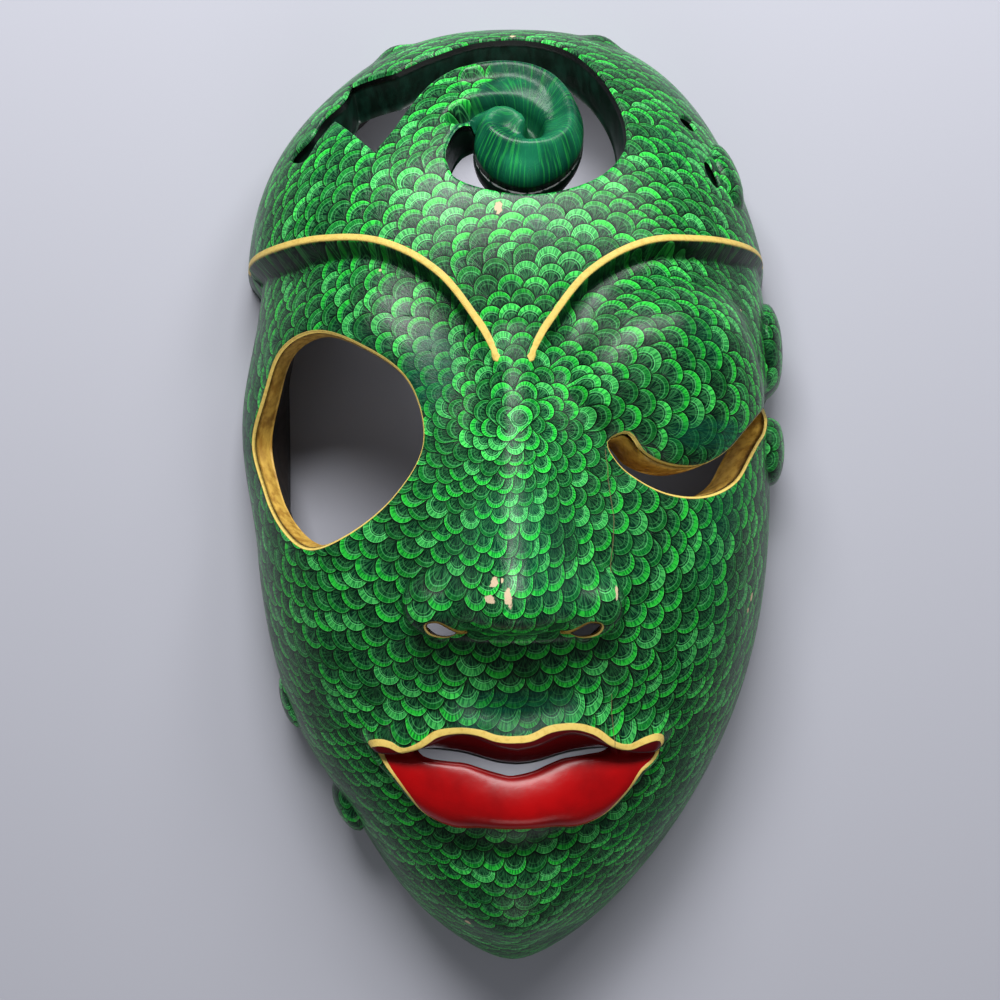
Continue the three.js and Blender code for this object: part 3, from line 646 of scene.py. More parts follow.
def build_shell():
    """Vertices, faces, the kind of each face, the drawing's places and the outside's face count."""
    ring = rim_ring()
    loops = [loop for _, loop, _ in OPENINGS]
    fine = field(FINE_STEP)
    fine = fine[np.any([reach_in(form, fine[:, 0], fine[:, 1]) < 1 for form in FINE_FIELDS], axis=0)]
    taken = np.vstack([ring] + loops)
    for points, rim_margin, margin, gap in (
        (line_points(), RIM_MARGIN, LINE_GAP, LINE_GAP),
        (fine, FINE_RIM_MARGIN, FINE_MARGIN, FIELD_GAP * FINE_STEP),
        (field(FIELD_STEP), RIM_MARGIN, COARSE_MARGIN, FIELD_GAP * FIELD_STEP),
    ):
        taken = thinned(taken, clear_of_edges(points, rim_margin, margin), gap)
    edge_count = len(ring) + sum(len(loop) for loop in loops)
    where, faces, index = sheet(ring, loops, taken[edge_count:])

    far = clear_of_edges(field(INSIDE_STEP), INSIDE_MARGIN, INSIDE_MARGIN)
    in_where, in_faces, in_index = sheet(ring, loops, far)

    places = [outer_surface(where), inner_surface(in_where)]
    shift = len(where)
    total = shift + len(in_where)
    all_faces = [tuple(face) for face in faces] + [tuple(face[::-1] + shift) for face in in_faces]
    kinds = ["outside"] * len(faces) + ["inside"] * len(in_faces)

    for i in range(len(ring)):
        j = (i + 1) % len(ring)
        all_faces.append((index[i], in_index[i] + shift, in_index[j] + shift, index[j]))
        kinds.append("rim")

    start = len(ring)
    for name, loop, _ in OPENINGS:
        n = len(loop)
        top = [index[start + i] for i in range(n)]
        low = [in_index[start + i] + shift for i in range(n)]
        out = places[0][top]
        back = places[1][[k - shift for k in low]]
        levels = [top]
        for row in range(1, WALL_ROWS):
            share = row / WALL_ROWS
            pinch = WALL_PINCH * math.sin(math.pi * share)
            level = lerp(out, back, share)
            ahead = np.roll(level, -1, axis=0) - np.roll(level, 1, axis=0)
            side = np.cross(ahead, out - back)
            side /= np.linalg.norm(side, axis=1)[:, None]
            places.append(level - side * pinch)
            levels.append(list(range(total, total + n)))
            total += n
        levels.append(low)
        for a, b in zip(levels[:-1], levels[1:]):
            for i in range(n):
                j = (i + 1) % n
                all_faces.append((a[j], a[i], b[i], b[j]))
                kinds.append("wall " + name)
        start += n
    return np.vstack(places), all_faces, kinds, where, len(faces)


# Painted fan scales, in rows round the bridge of the nose, tips outward
SCALE_MIDDLE = (0.0, 11.0)
SCALE_WIDTH = 6.3
SCALE_SMALL = 4.6
ROW_PITCH = 4.4
NARROW_NOSE = 0.25
NARROW_CHIN = 0.12
ROW_SMALL = 3.0
FIRST_ROW = 2.6
SCALES_REACH = 212.0
SCALE_ROOT = 1.6
SHADOW_REACH = 0.26
LAYERS = 5
TONES = 16
TONE_STEP = 16.0
NO_SCALE = TONE_STEP / 2 - 1

# Where the scales' widths and rows change, and by how much they stray from even rows
WIDTH_GROWS = (6, 60)
PITCH_GROWS = (5, 45)
NOSE_SPREAD = 16
NOSE_FOOT = (-46, -30)
NOSE_ROOT = (-14, 4)
CHIN_RUN = (50, 90)
PAST_RIM = 8
LEAN = 0.06
STRAY = 0.045
HALF_WIDTHS = (0.54, 0.62)
LENGTHS = (0.95, 1.15)
ROW_STRAY = (0.97, 1.03)
TURN_STEPS = 361
LEAST_IN_ROW = 4
EVENING_ROUNDS = 4
BIN = 10.0
LEAST_TILT = 0.01


def stretch(u, v):
    """How much wider the drawing is than the blank, across."""
    tilt = np.clip(math.hypot(u, v) / float(rim_radius(math.atan2(v, u))), LEAST_TILT, math.pi / 2)
    return tilt / math.sin(tilt)


def scale_width(u, v):
    far = math.hypot(u - SCALE_MIDDLE[0], v - SCALE_MIDDLE[1])
    width = lerp(SCALE_SMALL, SCALE_WIDTH, float(smoothstep(far, *WIDTH_GROWS)))
    on_nose = math.exp(-(u / NOSE_SPREAD) ** 2)
    on_nose *= float(smoothstep(v, *NOSE_FOOT))
    on_nose *= float(smoothstep(-v, *NOSE_ROOT))
    on_chin = float(smoothstep(-v, *CHIN_RUN))
    return width * (1 - NARROW_NOSE * on_nose) * (1 - NARROW_CHIN * on_chin)


def scale_rows():
    """Each scale as middle, direction, half width, length share and tone, inner rows first."""
    scales = []
    radius = FIRST_ROW
    turns = []
    while radius < SCALES_REACH:
        turns = next_row(turns, radius)
        for turn in turns:
            u = SCALE_MIDDLE[0] + radius * math.cos(turn)
            v = SCALE_MIDDLE[1] + radius * math.sin(turn)
            if not within_rim(np.array([(u, v)]), -PAST_RIM)[0]:
                continue
            width = scale_width(u, v)
            lean = turn + rng.gauss(0, LEAN)
            u += rng.gauss(0, STRAY) * width
            v += rng.gauss(0, STRAY) * width
            half = width * rng.uniform(*HALF_WIDTHS)
            scales.append((u, v, lean, half, rng.uniform(*LENGTHS), rng.randrange(TONES)))
        near = float(smoothstep(np.float64(radius), *PITCH_GROWS))
        radius += lerp(ROW_SMALL, ROW_PITCH, near) * rng.uniform(*ROW_STRAY)
    return scales


def next_row(turns, radius):
    """Even places round a row, that stand between those of the row before."""
    table = np.linspace(0, 2 * math.pi, TURN_STEPS)
    density = []
    for turn in table:
        u = SCALE_MIDDLE[0] + radius * math.cos(turn)
        v = SCALE_MIDDLE[1] + radius * math.sin(turn)
        density.append(radius / (stretch(u, v) * scale_width(u, v)))
    steps = np.diff(table) * (np.array(density[1:]) + density[:-1]) / 2
    along = np.concatenate([[0], np.cumsum(steps)])
    total = along[-1]
    count = max(LEAST_IN_ROW, round(total))
    before = np.sort(np.interp(turns, table, along)) if len(turns) else np.arange(count) * total / count
    row = list((before + np.append(before[1:], before[0] + total)) / 2)
    while len(row) < count:
        gaps = np.append(row[1:], row[0] + total) - row
        widest = int(np.argmax(gaps))
        row.insert(widest + 1, row[widest] + gaps[widest] / 2)
    while len(row) > count:
        gaps = np.append(row[1:], row[0] + total) - row
        row.pop(int(np.argmin(gaps)))
    row = np.array(row)
    for _ in range(EVENING_ROUNDS):
        ahead = np.append(row[1:], row[0] + total)
        behind = np.insert(row[:-1], 0, row[-1] - total)
        row = (row + (ahead + behind) / 2) / 2
    return sorted(np.interp(row % total, along, table))


def scale_layers(where, faces):
    """For each face the scales that reach it, topmost first, as places in each scale's own
    frame. The first of the two values also carries the scale's tone, as whole steps."""
    middle = where[faces].mean(axis=1)
    spread = np.max(np.linalg.norm(where[faces] - middle[:, None, :], axis=2), axis=1)
    local = np.full((LAYERS, len(faces), 3, 2), NO_SCALE)
    bins = {}
    for i, key in enumerate(map(tuple, np.floor(middle / BIN).astype(int))):
        bins.setdefault(key, []).append(i)
    for u, v, turn, half, length, tone in reversed(scale_rows()):
        cu, cv = int(u // BIN), int(v // BIN)
        near = [bins.get((a, b), []) for a in range(cu - 2, cu + 3) for b in range(cv - 2, cv + 3)]
        ids = np.array(sum(near, []), int)
        if not len(ids):
            continue
        way = np.array([math.cos(turn), math.sin(turn)])
        side = np.array([way[1], -way[0]])
        across = half * stretch(u, v)
        along = half * length
        offset = middle[ids] - (u, v)
        x, y = offset @ side, offset @ way
        slack = spread[ids]
        reach = np.hypot(np.maximum(np.abs(x) - slack, 0) / across, np.maximum(y - slack, 0) / along)
        root = np.minimum(SCALE_ROOT * along + slack, math.hypot(u - SCALE_MIDDLE[0], v - SCALE_MIDDLE[1]))
        ids = ids[(reach < 1 + SHADOW_REACH) & (y > -root)]
        local[1:, ids] = local[:-1, ids]
        corner = where[faces[ids]] - (u, v)
        local[0, ids] = np.stack([corner @ side / across + TONE_STEP * tone, corner @ way / along], axis=-1)
    return local


# Outline of the painted lips
LIP_OUTLINE = [
    (-42, -80.6), (-38.6, -77.4), (-34.5, -76.8), (-30.5, -77.4), (-26, -75.2), (-20, -70.4),
    (-14, -68.7), (-9, -69), (-4.5, -70.5), (0, -70.9), (4.5, -70.5), (10, -68.2), (16, -67.8),
    (22, -70.2), (27.8, -75), (32, -76.6), (37, -76.3), (41, -76.6), (43.6, -78.8), (43.2, -81.6),
    (41, -83.8), (36.5, -86.5), (33.5, -91), (28.7, -96.9), (24.5, -101.7), (18.2, -104.5), (10, -102.9),
    (1, -101.9), (-8, -102.9), (-15.2, -104.7), (-21.4, -103.6), (-26, -99.4), (-29.3, -93.3),
    (-33.5, -87.5), (-38.5, -82.4),
]
LIP_FIELD = (1, -90, 60, 34)
# Where the upper lip turns to the darker red of its painted shade
UPPER_LIP_SHADE_TURNS = (-3, 0.5)

# The gold lines: half widths, and where the brow's line starts and stops
GOLD_HALF = 0.9
GOLD_ABOVE = 0.8
GOLD_START = 4.2
GOLD_STOP = 104
GOLD_END = (4.6, 28.8)
GOLD_END_RADIUS = 1.15
GOLD_EDGES = {"round_eye": 0.5, "slit_eye": 0.5, "nostril": 0.3}
LIP_GOLD_TURNS = (-83.5, -79.5)
LIP_GOLD_UNDER = 0.5
LIP_GOLD_OVER = 0.8

# Places where the scales are rubbed or painted over, smooth and dark
SMOOTH_PLACES = [(1, -65, 21, 7.5), (-22, 27, 9, 14), (54, 9, 18, 5)]
SMOOTH_FADE = (0.6, 1)

# Painted light: places where the scales are lightened for the light from above and the sheen on the nose and
# the forehead, with how much
PAINTED_LIGHT_PLACES = [(0, -2, 34, 62, 1), (-6, 88, 110, 50, 0.8)]

# The shade under the brow, and in the curl's trench
BROW_SHADE_IN = (-0.3, 0.4)
BROW_SHADE_OUT = (BROW_RUN - 0.4, BROW_RUN + 1.6)
BROW_SHADE_START = (6, 14)
BROW_SHADE_STOP = (98, 106)
TRENCH_SHADE = 0.8
TRENCH_SHADE_REACH = (1.5, 4)

# Where the scales of the curl's stem end, and where its own paint does
STEM_EDGE = [(-20, 90), (-18.5, 97), (-16, 104), (-10.5, 116), (-7, 126), (-5, 133)]
STEM_BLEND = 0.8
CURL_PAINT_EDGE = (29, 31)
CURL_PAINT_FRONT = (26, 27)
CURL_BAND_FROM = 20
CURL_BAND_OFF = 8.99
UNPAINTED = -5.0


def lip_paint(u, v):
    """Signed distance from the lips' outline in millimetres, above 0 inside."""
    line = smooth_curve(list(reversed(LIP_OUTLINE)), True, 1)
    near = reach_in(LIP_FIELD, u, v) < 1
    paint = np.full(np.shape(u), UNPAINTED)
    inside = inside_loop(line, u[near], v[near])
    paint[near] = distance_to(line, u[near], v[near], closed=True) * np.where(inside, 1, -1)
    return paint


def over_lip(u, v):
    """1 along the thick gold line over the upper lip, 0 along the thin one under the lower."""
    return smoothstep(v, *LIP_GOLD_TURNS)


def gold_paint(u, v):
    """Signed distance into the gold lines in millimetres, above 0 inside."""
    x = np.abs(u)
    gold = GOLD_HALF - np.abs(brow_above(u, v) - GOLD_ABOVE)
    gold = np.minimum(gold, np.minimum(x - GOLD_START, GOLD_STOP - x))
    gold = np.maximum(gold, GOLD_END_RADIUS - np.hypot(x - GOLD_END[0], v - GOLD_END[1]))
    for name, loop, _ in OPENINGS:
        if name in GOLD_EDGES:
            gold = np.maximum(gold, GOLD_EDGES[name] - distance_to(loop, u, v, closed=True))
    return gold


def painted_shade_at(u, v):
    """Deep shade painted under the brow's overhang, and in the trench of the curl."""
    under = -brow_above(u, v)
    brow_shade = smoothstep(under, *BROW_SHADE_IN) * (1 - smoothstep(under, *BROW_SHADE_OUT))
    brow_shade *= smoothstep(np.abs(u), *BROW_SHADE_START) * (1 - smoothstep(np.abs(u), *BROW_SHADE_STOP))
    trench = 1 - smoothstep(distance_to(CURL_TRENCH_LINE, u, v), *TRENCH_SHADE_REACH)
    return np.maximum(brow_shade, TRENCH_SHADE * trench)


def smooth_paint(u, v):
    return np.max([1 - smoothstep(reach_in(form, u, v), *SMOOTH_FADE) for form in SMOOTH_PLACES], axis=0)


def painted_light_at(u, v):
    """1 where painted light lightens the scales, for the light from above and the sheen over the nose and
    the forehead.
    """
    return np.max([form[4] * mound(form, u, v) for form in PAINTED_LIGHT_PLACES], axis=0)


def curl_paint(u, v):
    du, dv = u - CURL_CENTRE[0], v - CURL_CENTRE[1]
    away = np.hypot(du, dv)
    edge = np.interp(v, [point[1] for point in STEM_EDGE], [point[0] for point in STEM_EDGE])
    stem = smoothstep(edge - u, -STEM_BLEND, STEM_BLEND)
    inside = 1 - smoothstep(away, *CURL_PAINT_EDGE)
    in_front = 1 - smoothstep(-dv, *CURL_PAINT_FRONT)
    gap = inside_loop(OPENINGS[-1][1], u, v)
    on_band = (away > CURL_BAND_FROM) & (distance_to(CURL_EDGE_LINE, u, v) > CURL_BAND_OFF)
    return inside * in_front * (1 - stem) * np.where(gap | on_band, 0, 1)


class Shader:
    """Short names for the nodes of one material."""

    def __init__(self, name):
        self.material = bpy.data.materials.new(name)
        self.material.use_nodes = True
        self.nodes = self.material.node_tree.nodes
        self.links = self.material.node_tree.links
        self.surface = self.nodes["Principled BSDF"]

    def put(self, socket, value):
        if isinstance(value, bpy.types.NodeSocket):
            self.links.new(value, socket)
        elif hasattr(socket.default_value, "__len__") and len(socket.default_value) == 4 and len(value) == 3:
            socket.default_value = (*value, 1)
        else:
            socket.default_value = value

    def node(self, kind, inputs=(), **settings):
        made = self.nodes.new(kind)
        for key, value in settings.items():
            setattr(made, key, value)
        for key, value in dict(inputs).items():
            self.put(made.inputs[key], value)
        return made

    def paint(self, name, value):
        self.put(self.surface.inputs[name], value)

    def math(self, operation, *values):
        made = self.node("ShaderNodeMath", operation=operation)
        for i, value in enumerate(values):
            self.put(made.inputs[i], value)
        return made.outputs[0]

    def plus(self, a, b):
        return self.math("ADD", a, b)

    def minus(self, a, b):
        return self.math("SUBTRACT", a, b)

    def times(self, a, b):
        return self.math("MULTIPLY", a, b)

    def larger(self, a, b):
        return self.math("MAXIMUM", a, b)

    def flip(self, value):
        return self.math("SUBTRACT", 1.0, value)

    def vector(self, operation, *values):
        made = self.node("ShaderNodeVectorMath", operation=operation)
        for i, value in enumerate(values):
            self.put(made.inputs[i], value)
        return made.outputs["Value" if operation in ("LENGTH", "DOT_PRODUCT") else "Vector"]

    def split(self, vector):
        made = self.node("ShaderNodeSeparateXYZ", {"Vector": vector})
        return made.outputs[0], made.outputs[1], made.outputs[2]

    def join(self, x=0.0, y=0.0, z=0.0):
        return self.node("ShaderNodeCombineXYZ", {"X": x, "Y": y, "Z": z}).outputs[0]

    def step(self, value, low, high):
        made = self.node("ShaderNodeMapRange", interpolation_type="SMOOTHSTEP")
        self.put(made.inputs["Value"], value)
        self.put(made.inputs["From Min"], low)
        self.put(made.inputs["From Max"], high)
        return made.outputs["Result"]

    def blend(self, kind, share, a, b):
        made = self.node("ShaderNodeMix", data_type=kind)
        first, result = {"FLOAT": (2, 0), "VECTOR": (4, 1), "RGBA": (6, 2)}[kind]
        self.put(made.inputs[0], share)
        self.put(made.inputs[first], a)
        self.put(made.inputs[first + 1], b)
        return made.outputs[result]

    def mix(self, share, a, b):
        return self.blend("RGBA", share, a, b)

    def mix_value(self, share, a, b):
        return self.blend("FLOAT", share, a, b)

    def mix_vector(self, share, a, b):
        return self.blend("VECTOR", share, a, b)

    def noise(self, vector, scale, detail=2.0, roughness=0.5):
        made = self.node("ShaderNodeTexNoise", {"Vector": vector, "Scale": scale, "Detail": detail,
                                                "Roughness": roughness})
        return made.outputs["Fac"]

    def attribute(self, name):
        return self.node("ShaderNodeAttribute", attribute_name=name).outputs["Fac"]

    def uv(self, name):
        return self.node("ShaderNodeUVMap", uv_map=name).outputs[0]

    def bump(self, height, distance, strength=1.0, normal=None):
        made = self.node("ShaderNodeBump", {"Height": height, "Distance": distance, "Strength": strength})
        if normal is not None:
            self.put(made.inputs["Normal"], normal)
        return made.outputs[0]


# Colours, linear
SCALE_DARK = (0.001, 0.036, 0.02)
SCALE_TEAL = (0.003, 0.085, 0.05)
SCALE_GREEN = (0.006, 0.16, 0.024)
SCALE_VIVID = (0.03, 0.5, 0.05)
SCALE_PALE = (0.22, 0.74, 0.27)
SHADOW_GREEN = (0.0005, 0.006, 0.003)
GOLD_PAINT = (0.74, 0.54, 0.14)
GOLD_WORN = (0.55, 0.36, 0.07)
LIP_RED = (0.36, 0.002, 0.003)
# The darker red is the upper lip's painted shade, and also the lips' dark patches
LIP_DARK_AND_SHADE = (0.06, 0.002, 0.003)
BARE_WOOD = (0.62, 0.47, 0.31)
CRACK_BROWN = (0.16, 0.13, 0.06)
WALL_GOLD = (0.58, 0.36, 0.06)
WALL_BROWN = (0.3, 0.15, 0.015)
# Near black green of the crown's and the slots' walls, painted shade under the band and the curl
WALL_GREEN_SHADE = (0.0008, 0.018, 0.01)
INSIDE_DARK = (0.018, 0.011, 0.008)
INSIDE_BLACK = (0.006, 0.004, 0.003)
CURL_TEAL = (0.005, 0.1, 0.045)
FLOOR_PALE = (0.42, 0.425, 0.48)
FLOOR_DIM = (0.39, 0.395, 0.45)

# Chips and spots of bare wood: place in the drawing, half width, half height, tilt
CHIPS = [
    (-4, 70.5, 1.1, 1.9, 0.1), (0, 155.5, 1.1, 0.9, 0), (-38.5, 57.5, 0.45, 0.45, 0),
    (-4.4, -25.1, 0.8, 1.2, 0.4), (-5.2, -28.6, 1.0, 0.9, 0), (-1.3, -28, 0.85, 2, -0.1),
    (-2.6, -24.6, 0.3, 0.5, 0), (25.1, -30.2, 0.4, 1.3, 0.2), (81, -43, 0.9, 1.5, 0.2),
    (79, -47, 0.7, 1.0, -0.3), (-15, -151, 1.1, 1.2, 0), (74, 52, 0.4, 0.4, 0),
]
CHIP_NOISE = (900.0, 2.0)
CHIP_RAGGED = 1.4
CHIP_EDGE = (0.85, 1.1)

# Hairline cracks: two ends in the drawing
CRACKS = [
    ((24, 5), (25, -4)), ((25, -4), (26.4, -14)), ((26.4, -14), (25.4, -27)), ((27, -62), (27.6, -76)),
    ((-34, 131), (-35, 142)),
]
CRACK_HALF = 0.12
CRACK_EDGE = (0.4, 1.6)
CRACK_NOISE = (260.0, 2.0)
CRACK_WAVE = 0.9


# How a scale is painted, in shares of its half width, and the shares of its colours
FAN_ROOT = 0.85
FAN_COUNT = 13.0
FAN_RUN = 1.3
FAN_EDGE = (0.42, 0.58)
FAN_NOISE = (1.0, 1.0, 0.6)
RING_ROOT = 0.3
RING_REACH = 1.3
WOBBLE_SIZE = 1.6
WOBBLE = 0.1
TONE_SEED = 37.0
BAND_WIDTHS = (0.22, 0.4)
BAND_BLEND = 0.05
HEART = (0.15, 0.55)
ARC_CORE = 0.3
INNER_LINE = (0.53, 0.035)
INNER_LINE_SHARE = 0.6
BAND_LINE_OFF = 0.03
BAND_LINE_HALF = 0.04
LINE_SHARES = (0.2, 0.5)
VIVID_RANGE = (0.25, 1.0)
PALE_RANGE = (0.75, 1.0)
PALE_SHARE = 0.4
TEAL_SHARE = 0.6
BAND_STROKES = (0.35, 1.0)
HAIR_SHARES = (0.16, 0.1)
RIM_WIDTH = (0.015, 0.07)
RIM_SHARE = 0.28
CAST_SHARE = 0.92
SCALE_GAMMA = 1.35
SCALE_VALUES = (0.9, 2.1)


def scale_choice(s):
    """The place in the topmost scale's frame, its tone from 0 to 1, and the shade that
    the scales over it cast."""
    place = s.join(0.0, -1.0, 0.0)
    tone = 0.5
    shade = 0.0
    for layer in reversed(range(LAYERS)):
        x, y, _ = s.split(s.uv(f"scale_{layer}"))
        step = s.math("ROUND", s.math("DIVIDE", x, TONE_STEP))
        x = s.minus(x, s.times(step, TONE_STEP))
        tip = s.vector("LENGTH", s.join(x, s.larger(y, 0.0), 0.0))
        root = s.math("GREATER_THAN", y, -SCALE_ROOT)
        inside = s.times(s.math("LESS_THAN", tip, 1.0), root)
        cast = s.flip(s.step(tip, 1.0, 1.0 + SHADOW_REACH))
        shade = s.larger(shade, s.times(cast, root))
        shade = s.times(shade, s.flip(inside))
        place = s.mix_vector(inside, place, s.join(x, y, 0.0))
        tone = s.mix_value(inside, tone, s.math("DIVIDE", step, TONES - 1.0))
    return place, tone, shade


def fan_strokes(s, x, y, seed):
    """Fine strokes that fan out from the scale's root."""
    deep = s.plus(y, FAN_ROOT)
    turn = s.math("ARCTAN2", x, deep)
    fan = s.vector("LENGTH", s.join(x, deep, 0.0))
    place = s.join(s.times(turn, FAN_COUNT), s.times(fan, FAN_RUN), seed)
    return s.step(s.noise(place, *FAN_NOISE), *FAN_EDGE)


def scale_colour(s):
    place, tone, shade = scale_choice(s)
    x, y, _ = s.split(place)
    outline = s.vector("LENGTH", s.join(x, s.larger(y, 0.0), 0.0))
    edge = s.flip(outline)
    seed = s.times(tone, TONE_SEED)
    ring = s.vector("LENGTH", s.join(x, s.plus(y, RING_ROOT), 0.0))
    ring = s.flip(s.math("DIVIDE", ring, RING_REACH))
    wobble = s.noise(s.join(s.times(x, WOBBLE_SIZE), s.times(y, WOBBLE_SIZE), seed), 1.0, 1.0)
    ring = s.plus(ring, s.times(s.minus(wobble, 0.5), WOBBLE))
    strokes = fan_strokes(s, x, y, seed)
    chance = s.node("ShaderNodeTexWhiteNoise", {"W": seed}, noise_dimensions="1D")
    vivid, other, third = s.split(chance.outputs["Color"])

    def arc(at, half):
        off = s.math("ABSOLUTE", s.minus(ring, at))
        return s.flip(s.step(off, half * ARC_CORE, half))

    band_end = s.mix_value(other, *BAND_WIDTHS)
    band = s.flip(s.step(ring, s.minus(band_end, BAND_BLEND), band_end))
    dusk = s.step(ring, *HEART)
    lines = s.times(arc(*INNER_LINE), INNER_LINE_SHARE)
    lines = s.larger(arc(s.plus(band_end, BAND_LINE_OFF), BAND_LINE_HALF), lines)
    bright = s.mix(s.step(vivid, *VIVID_RANGE), SCALE_GREEN, SCALE_VIVID)
    bright = s.mix(s.times(s.step(third, *PALE_RANGE), PALE_SHARE), bright, SCALE_PALE)
    colour = s.mix(dusk, s.mix(TEAL_SHARE, SCALE_GREEN, SCALE_TEAL), SCALE_DARK)
    banded = s.mix(s.mix_value(strokes, *BAND_STROKES), colour, bright)
    colour = s.mix(band, colour, banded)
    hair = s.times(strokes, s.mix_value(band, *HAIR_SHARES))
    colour = s.mix(hair, colour, SCALE_PALE)
    colour = s.mix(s.times(lines, s.mix_value(third, *LINE_SHARES)), colour, SCALE_PALE)
    rim = s.flip(s.step(edge, *RIM_WIDTH))
    colour = s.mix(s.times(rim, RIM_SHARE), colour, SCALE_PALE)
    colour = s.mix(s.times(shade, CAST_SHARE), colour, SHADOW_GREEN)
    value = s.mix_value(other, *SCALE_VALUES)
    deeper = s.node("ShaderNodeGamma", {"Color": colour, "Gamma": SCALE_GAMMA}).outputs[0]
    lit = s.node("ShaderNodeHueSaturation", {"Color": deeper, "Value": value}).outputs[0]
    return lit, strokes


CURL_STROKE_TURNS = 24.0
CURL_STROKE_RUN = 90.0
CURL_STROKE_EDGE = (0.5, 0.64)
CURL_STROKE_SHARE = 0.22
CURL_STROKE_NOISE = (1.0, 3.0, 0.6)
CURL_NOISE = (90.0, 2.0)
CURL_PATCHES = (0.35, 0.7)


def curl_colour(s, chart):
    """Teal with fine pale strokes that run across the curl's arm."""
    moved = s.vector("SUBTRACT", chart, s.join(CURL_CENTRE[0] * MM, CURL_CENTRE[1] * MM, 0.0))
    x, y, _ = s.split(moved)
    away = s.vector("LENGTH", moved)
    turn = s.math("ARCTAN2", y, x)
    place = s.join(s.times(turn, CURL_STROKE_TURNS), s.times(away, CURL_STROKE_RUN), 0.0)
    strokes = s.step(s.noise(place, *CURL_STROKE_NOISE), *CURL_STROKE_EDGE)
    broad = s.noise(chart, *CURL_NOISE)
    base = s.mix(s.step(broad, *CURL_PATCHES), SCALE_DARK, CURL_TEAL)
    return s.mix(s.times(strokes, CURL_STROKE_SHARE), base, SCALE_VIVID)


def chip_mask(s, chart):
    """Small ragged places where the paint is gone."""
    ragged = s.noise(chart, *CHIP_NOISE)
    slack = s.times(s.minus(ragged, 0.5), CHIP_RAGGED)
    mask = 0.0
    for u, v, half_width, half_height, tilt in CHIPS:
        offset = s.vector("SUBTRACT", chart, s.join(u * MM, v * MM, 0.0))
        turned = s.node("ShaderNodeVectorRotate", {"Vector": offset, "Angle": tilt}, rotation_type="Z_AXIS")
        sized = s.join(1 / (half_width * MM), 1 / (half_height * MM), 0.0)
        sized = s.vector("MULTIPLY", turned.outputs[0], sized)
        near = s.plus(s.vector("LENGTH", sized), slack)
        mask = s.larger(mask, s.flip(s.step(near, *CHIP_EDGE)))
    return mask


def crack_mask(s, chart):
    """Thin lines from end to end, a little wavy."""
    wave = s.times(s.minus(s.noise(chart, *CRACK_NOISE), 0.5), CRACK_WAVE * MM)
    place = s.vector("ADD", chart, s.join(wave, 0.0, 0.0))
    mask = 0.0
    for (u0, v0), (u1, v1) in CRACKS:
        run = math.hypot(u1 - u0, v1 - v0)
        du, dv = (u1 - u0) / run, (v1 - v0) / run
        x, y, _ = s.split(s.vector("SUBTRACT", place, s.join(u0 * MM, v0 * MM, 0.0)))
        along = s.plus(s.times(x, du), s.times(y, dv))
        across = s.math("ABSOLUTE", s.minus(s.times(x, dv), s.times(y, du)))
        past = s.math("ABSOLUTE", s.minus(along, run / 2 * MM))
        past = s.minus(past, run / 2 * MM)
        away = s.larger(across, past)
        near = s.step(away, CRACK_HALF * CRACK_EDGE[0] * MM, CRACK_HALF * CRACK_EDGE[1] * MM)
        mask = s.larger(mask, s.flip(near))
    return mask


# Shares and ranges of the surface's paint
TEAL_PATCHES = (0.5, 0.75)
TEAL_PATCH_SHARE = 0.35
PAINTED_LIGHT_GAIN = 0.7
PAINTED_SHADE_SHARE = 0.7
SMOOTH_SHARE = 0.5
PAINT_BLEND = 0.1
LIP_PATCHES = (0.35, 0.8)
LIP_PATCH_SHARE = 0.5
GOLD_RAGGED = 0.15
GOLD_WEAR = (0.45, 0.7)
GOLD_WEAR_SHARE = 0.6
CRACK_SHARE = 0.75

# Noises of the surface: scale, detail and roughness
BRUSH_NOISE = (700.0, 3.0, 0.6)
SOFT_NOISE = (60.0, 3.0, 0.6)
BROAD_NOISE = (22.0, 2.0)
GRAIN_NOISE = (120.0, 2.0)
GRAIN_STRETCH = 9.0
GRAIN_PATCHES = (0.3, 0.7)
CARVED_NOISE = (130.0, 2.0)

# Roughness of the lacquer, and of what differs from it
ROUGH_PATCHES = (0.3, 0.7)
LACQUER_ROUGH = (0.27, 0.38)
LIP_ROUGH = 0.24
GOLD_ROUGH = 0.42
WOOD_ROUGH = 0.8
LACQUER_IOR = 1.3

# Heights of strokes, chips and gold over the brushwork, and both bumps: depth in metres, strength
STROKE_HIGH = 0.4
CHIP_DEEP = 2.0
GOLD_HIGH = 3.0
BRUSH_BUMP = (0.00006, 0.6)
CARVED_BUMP = (0.0006, 0.25)


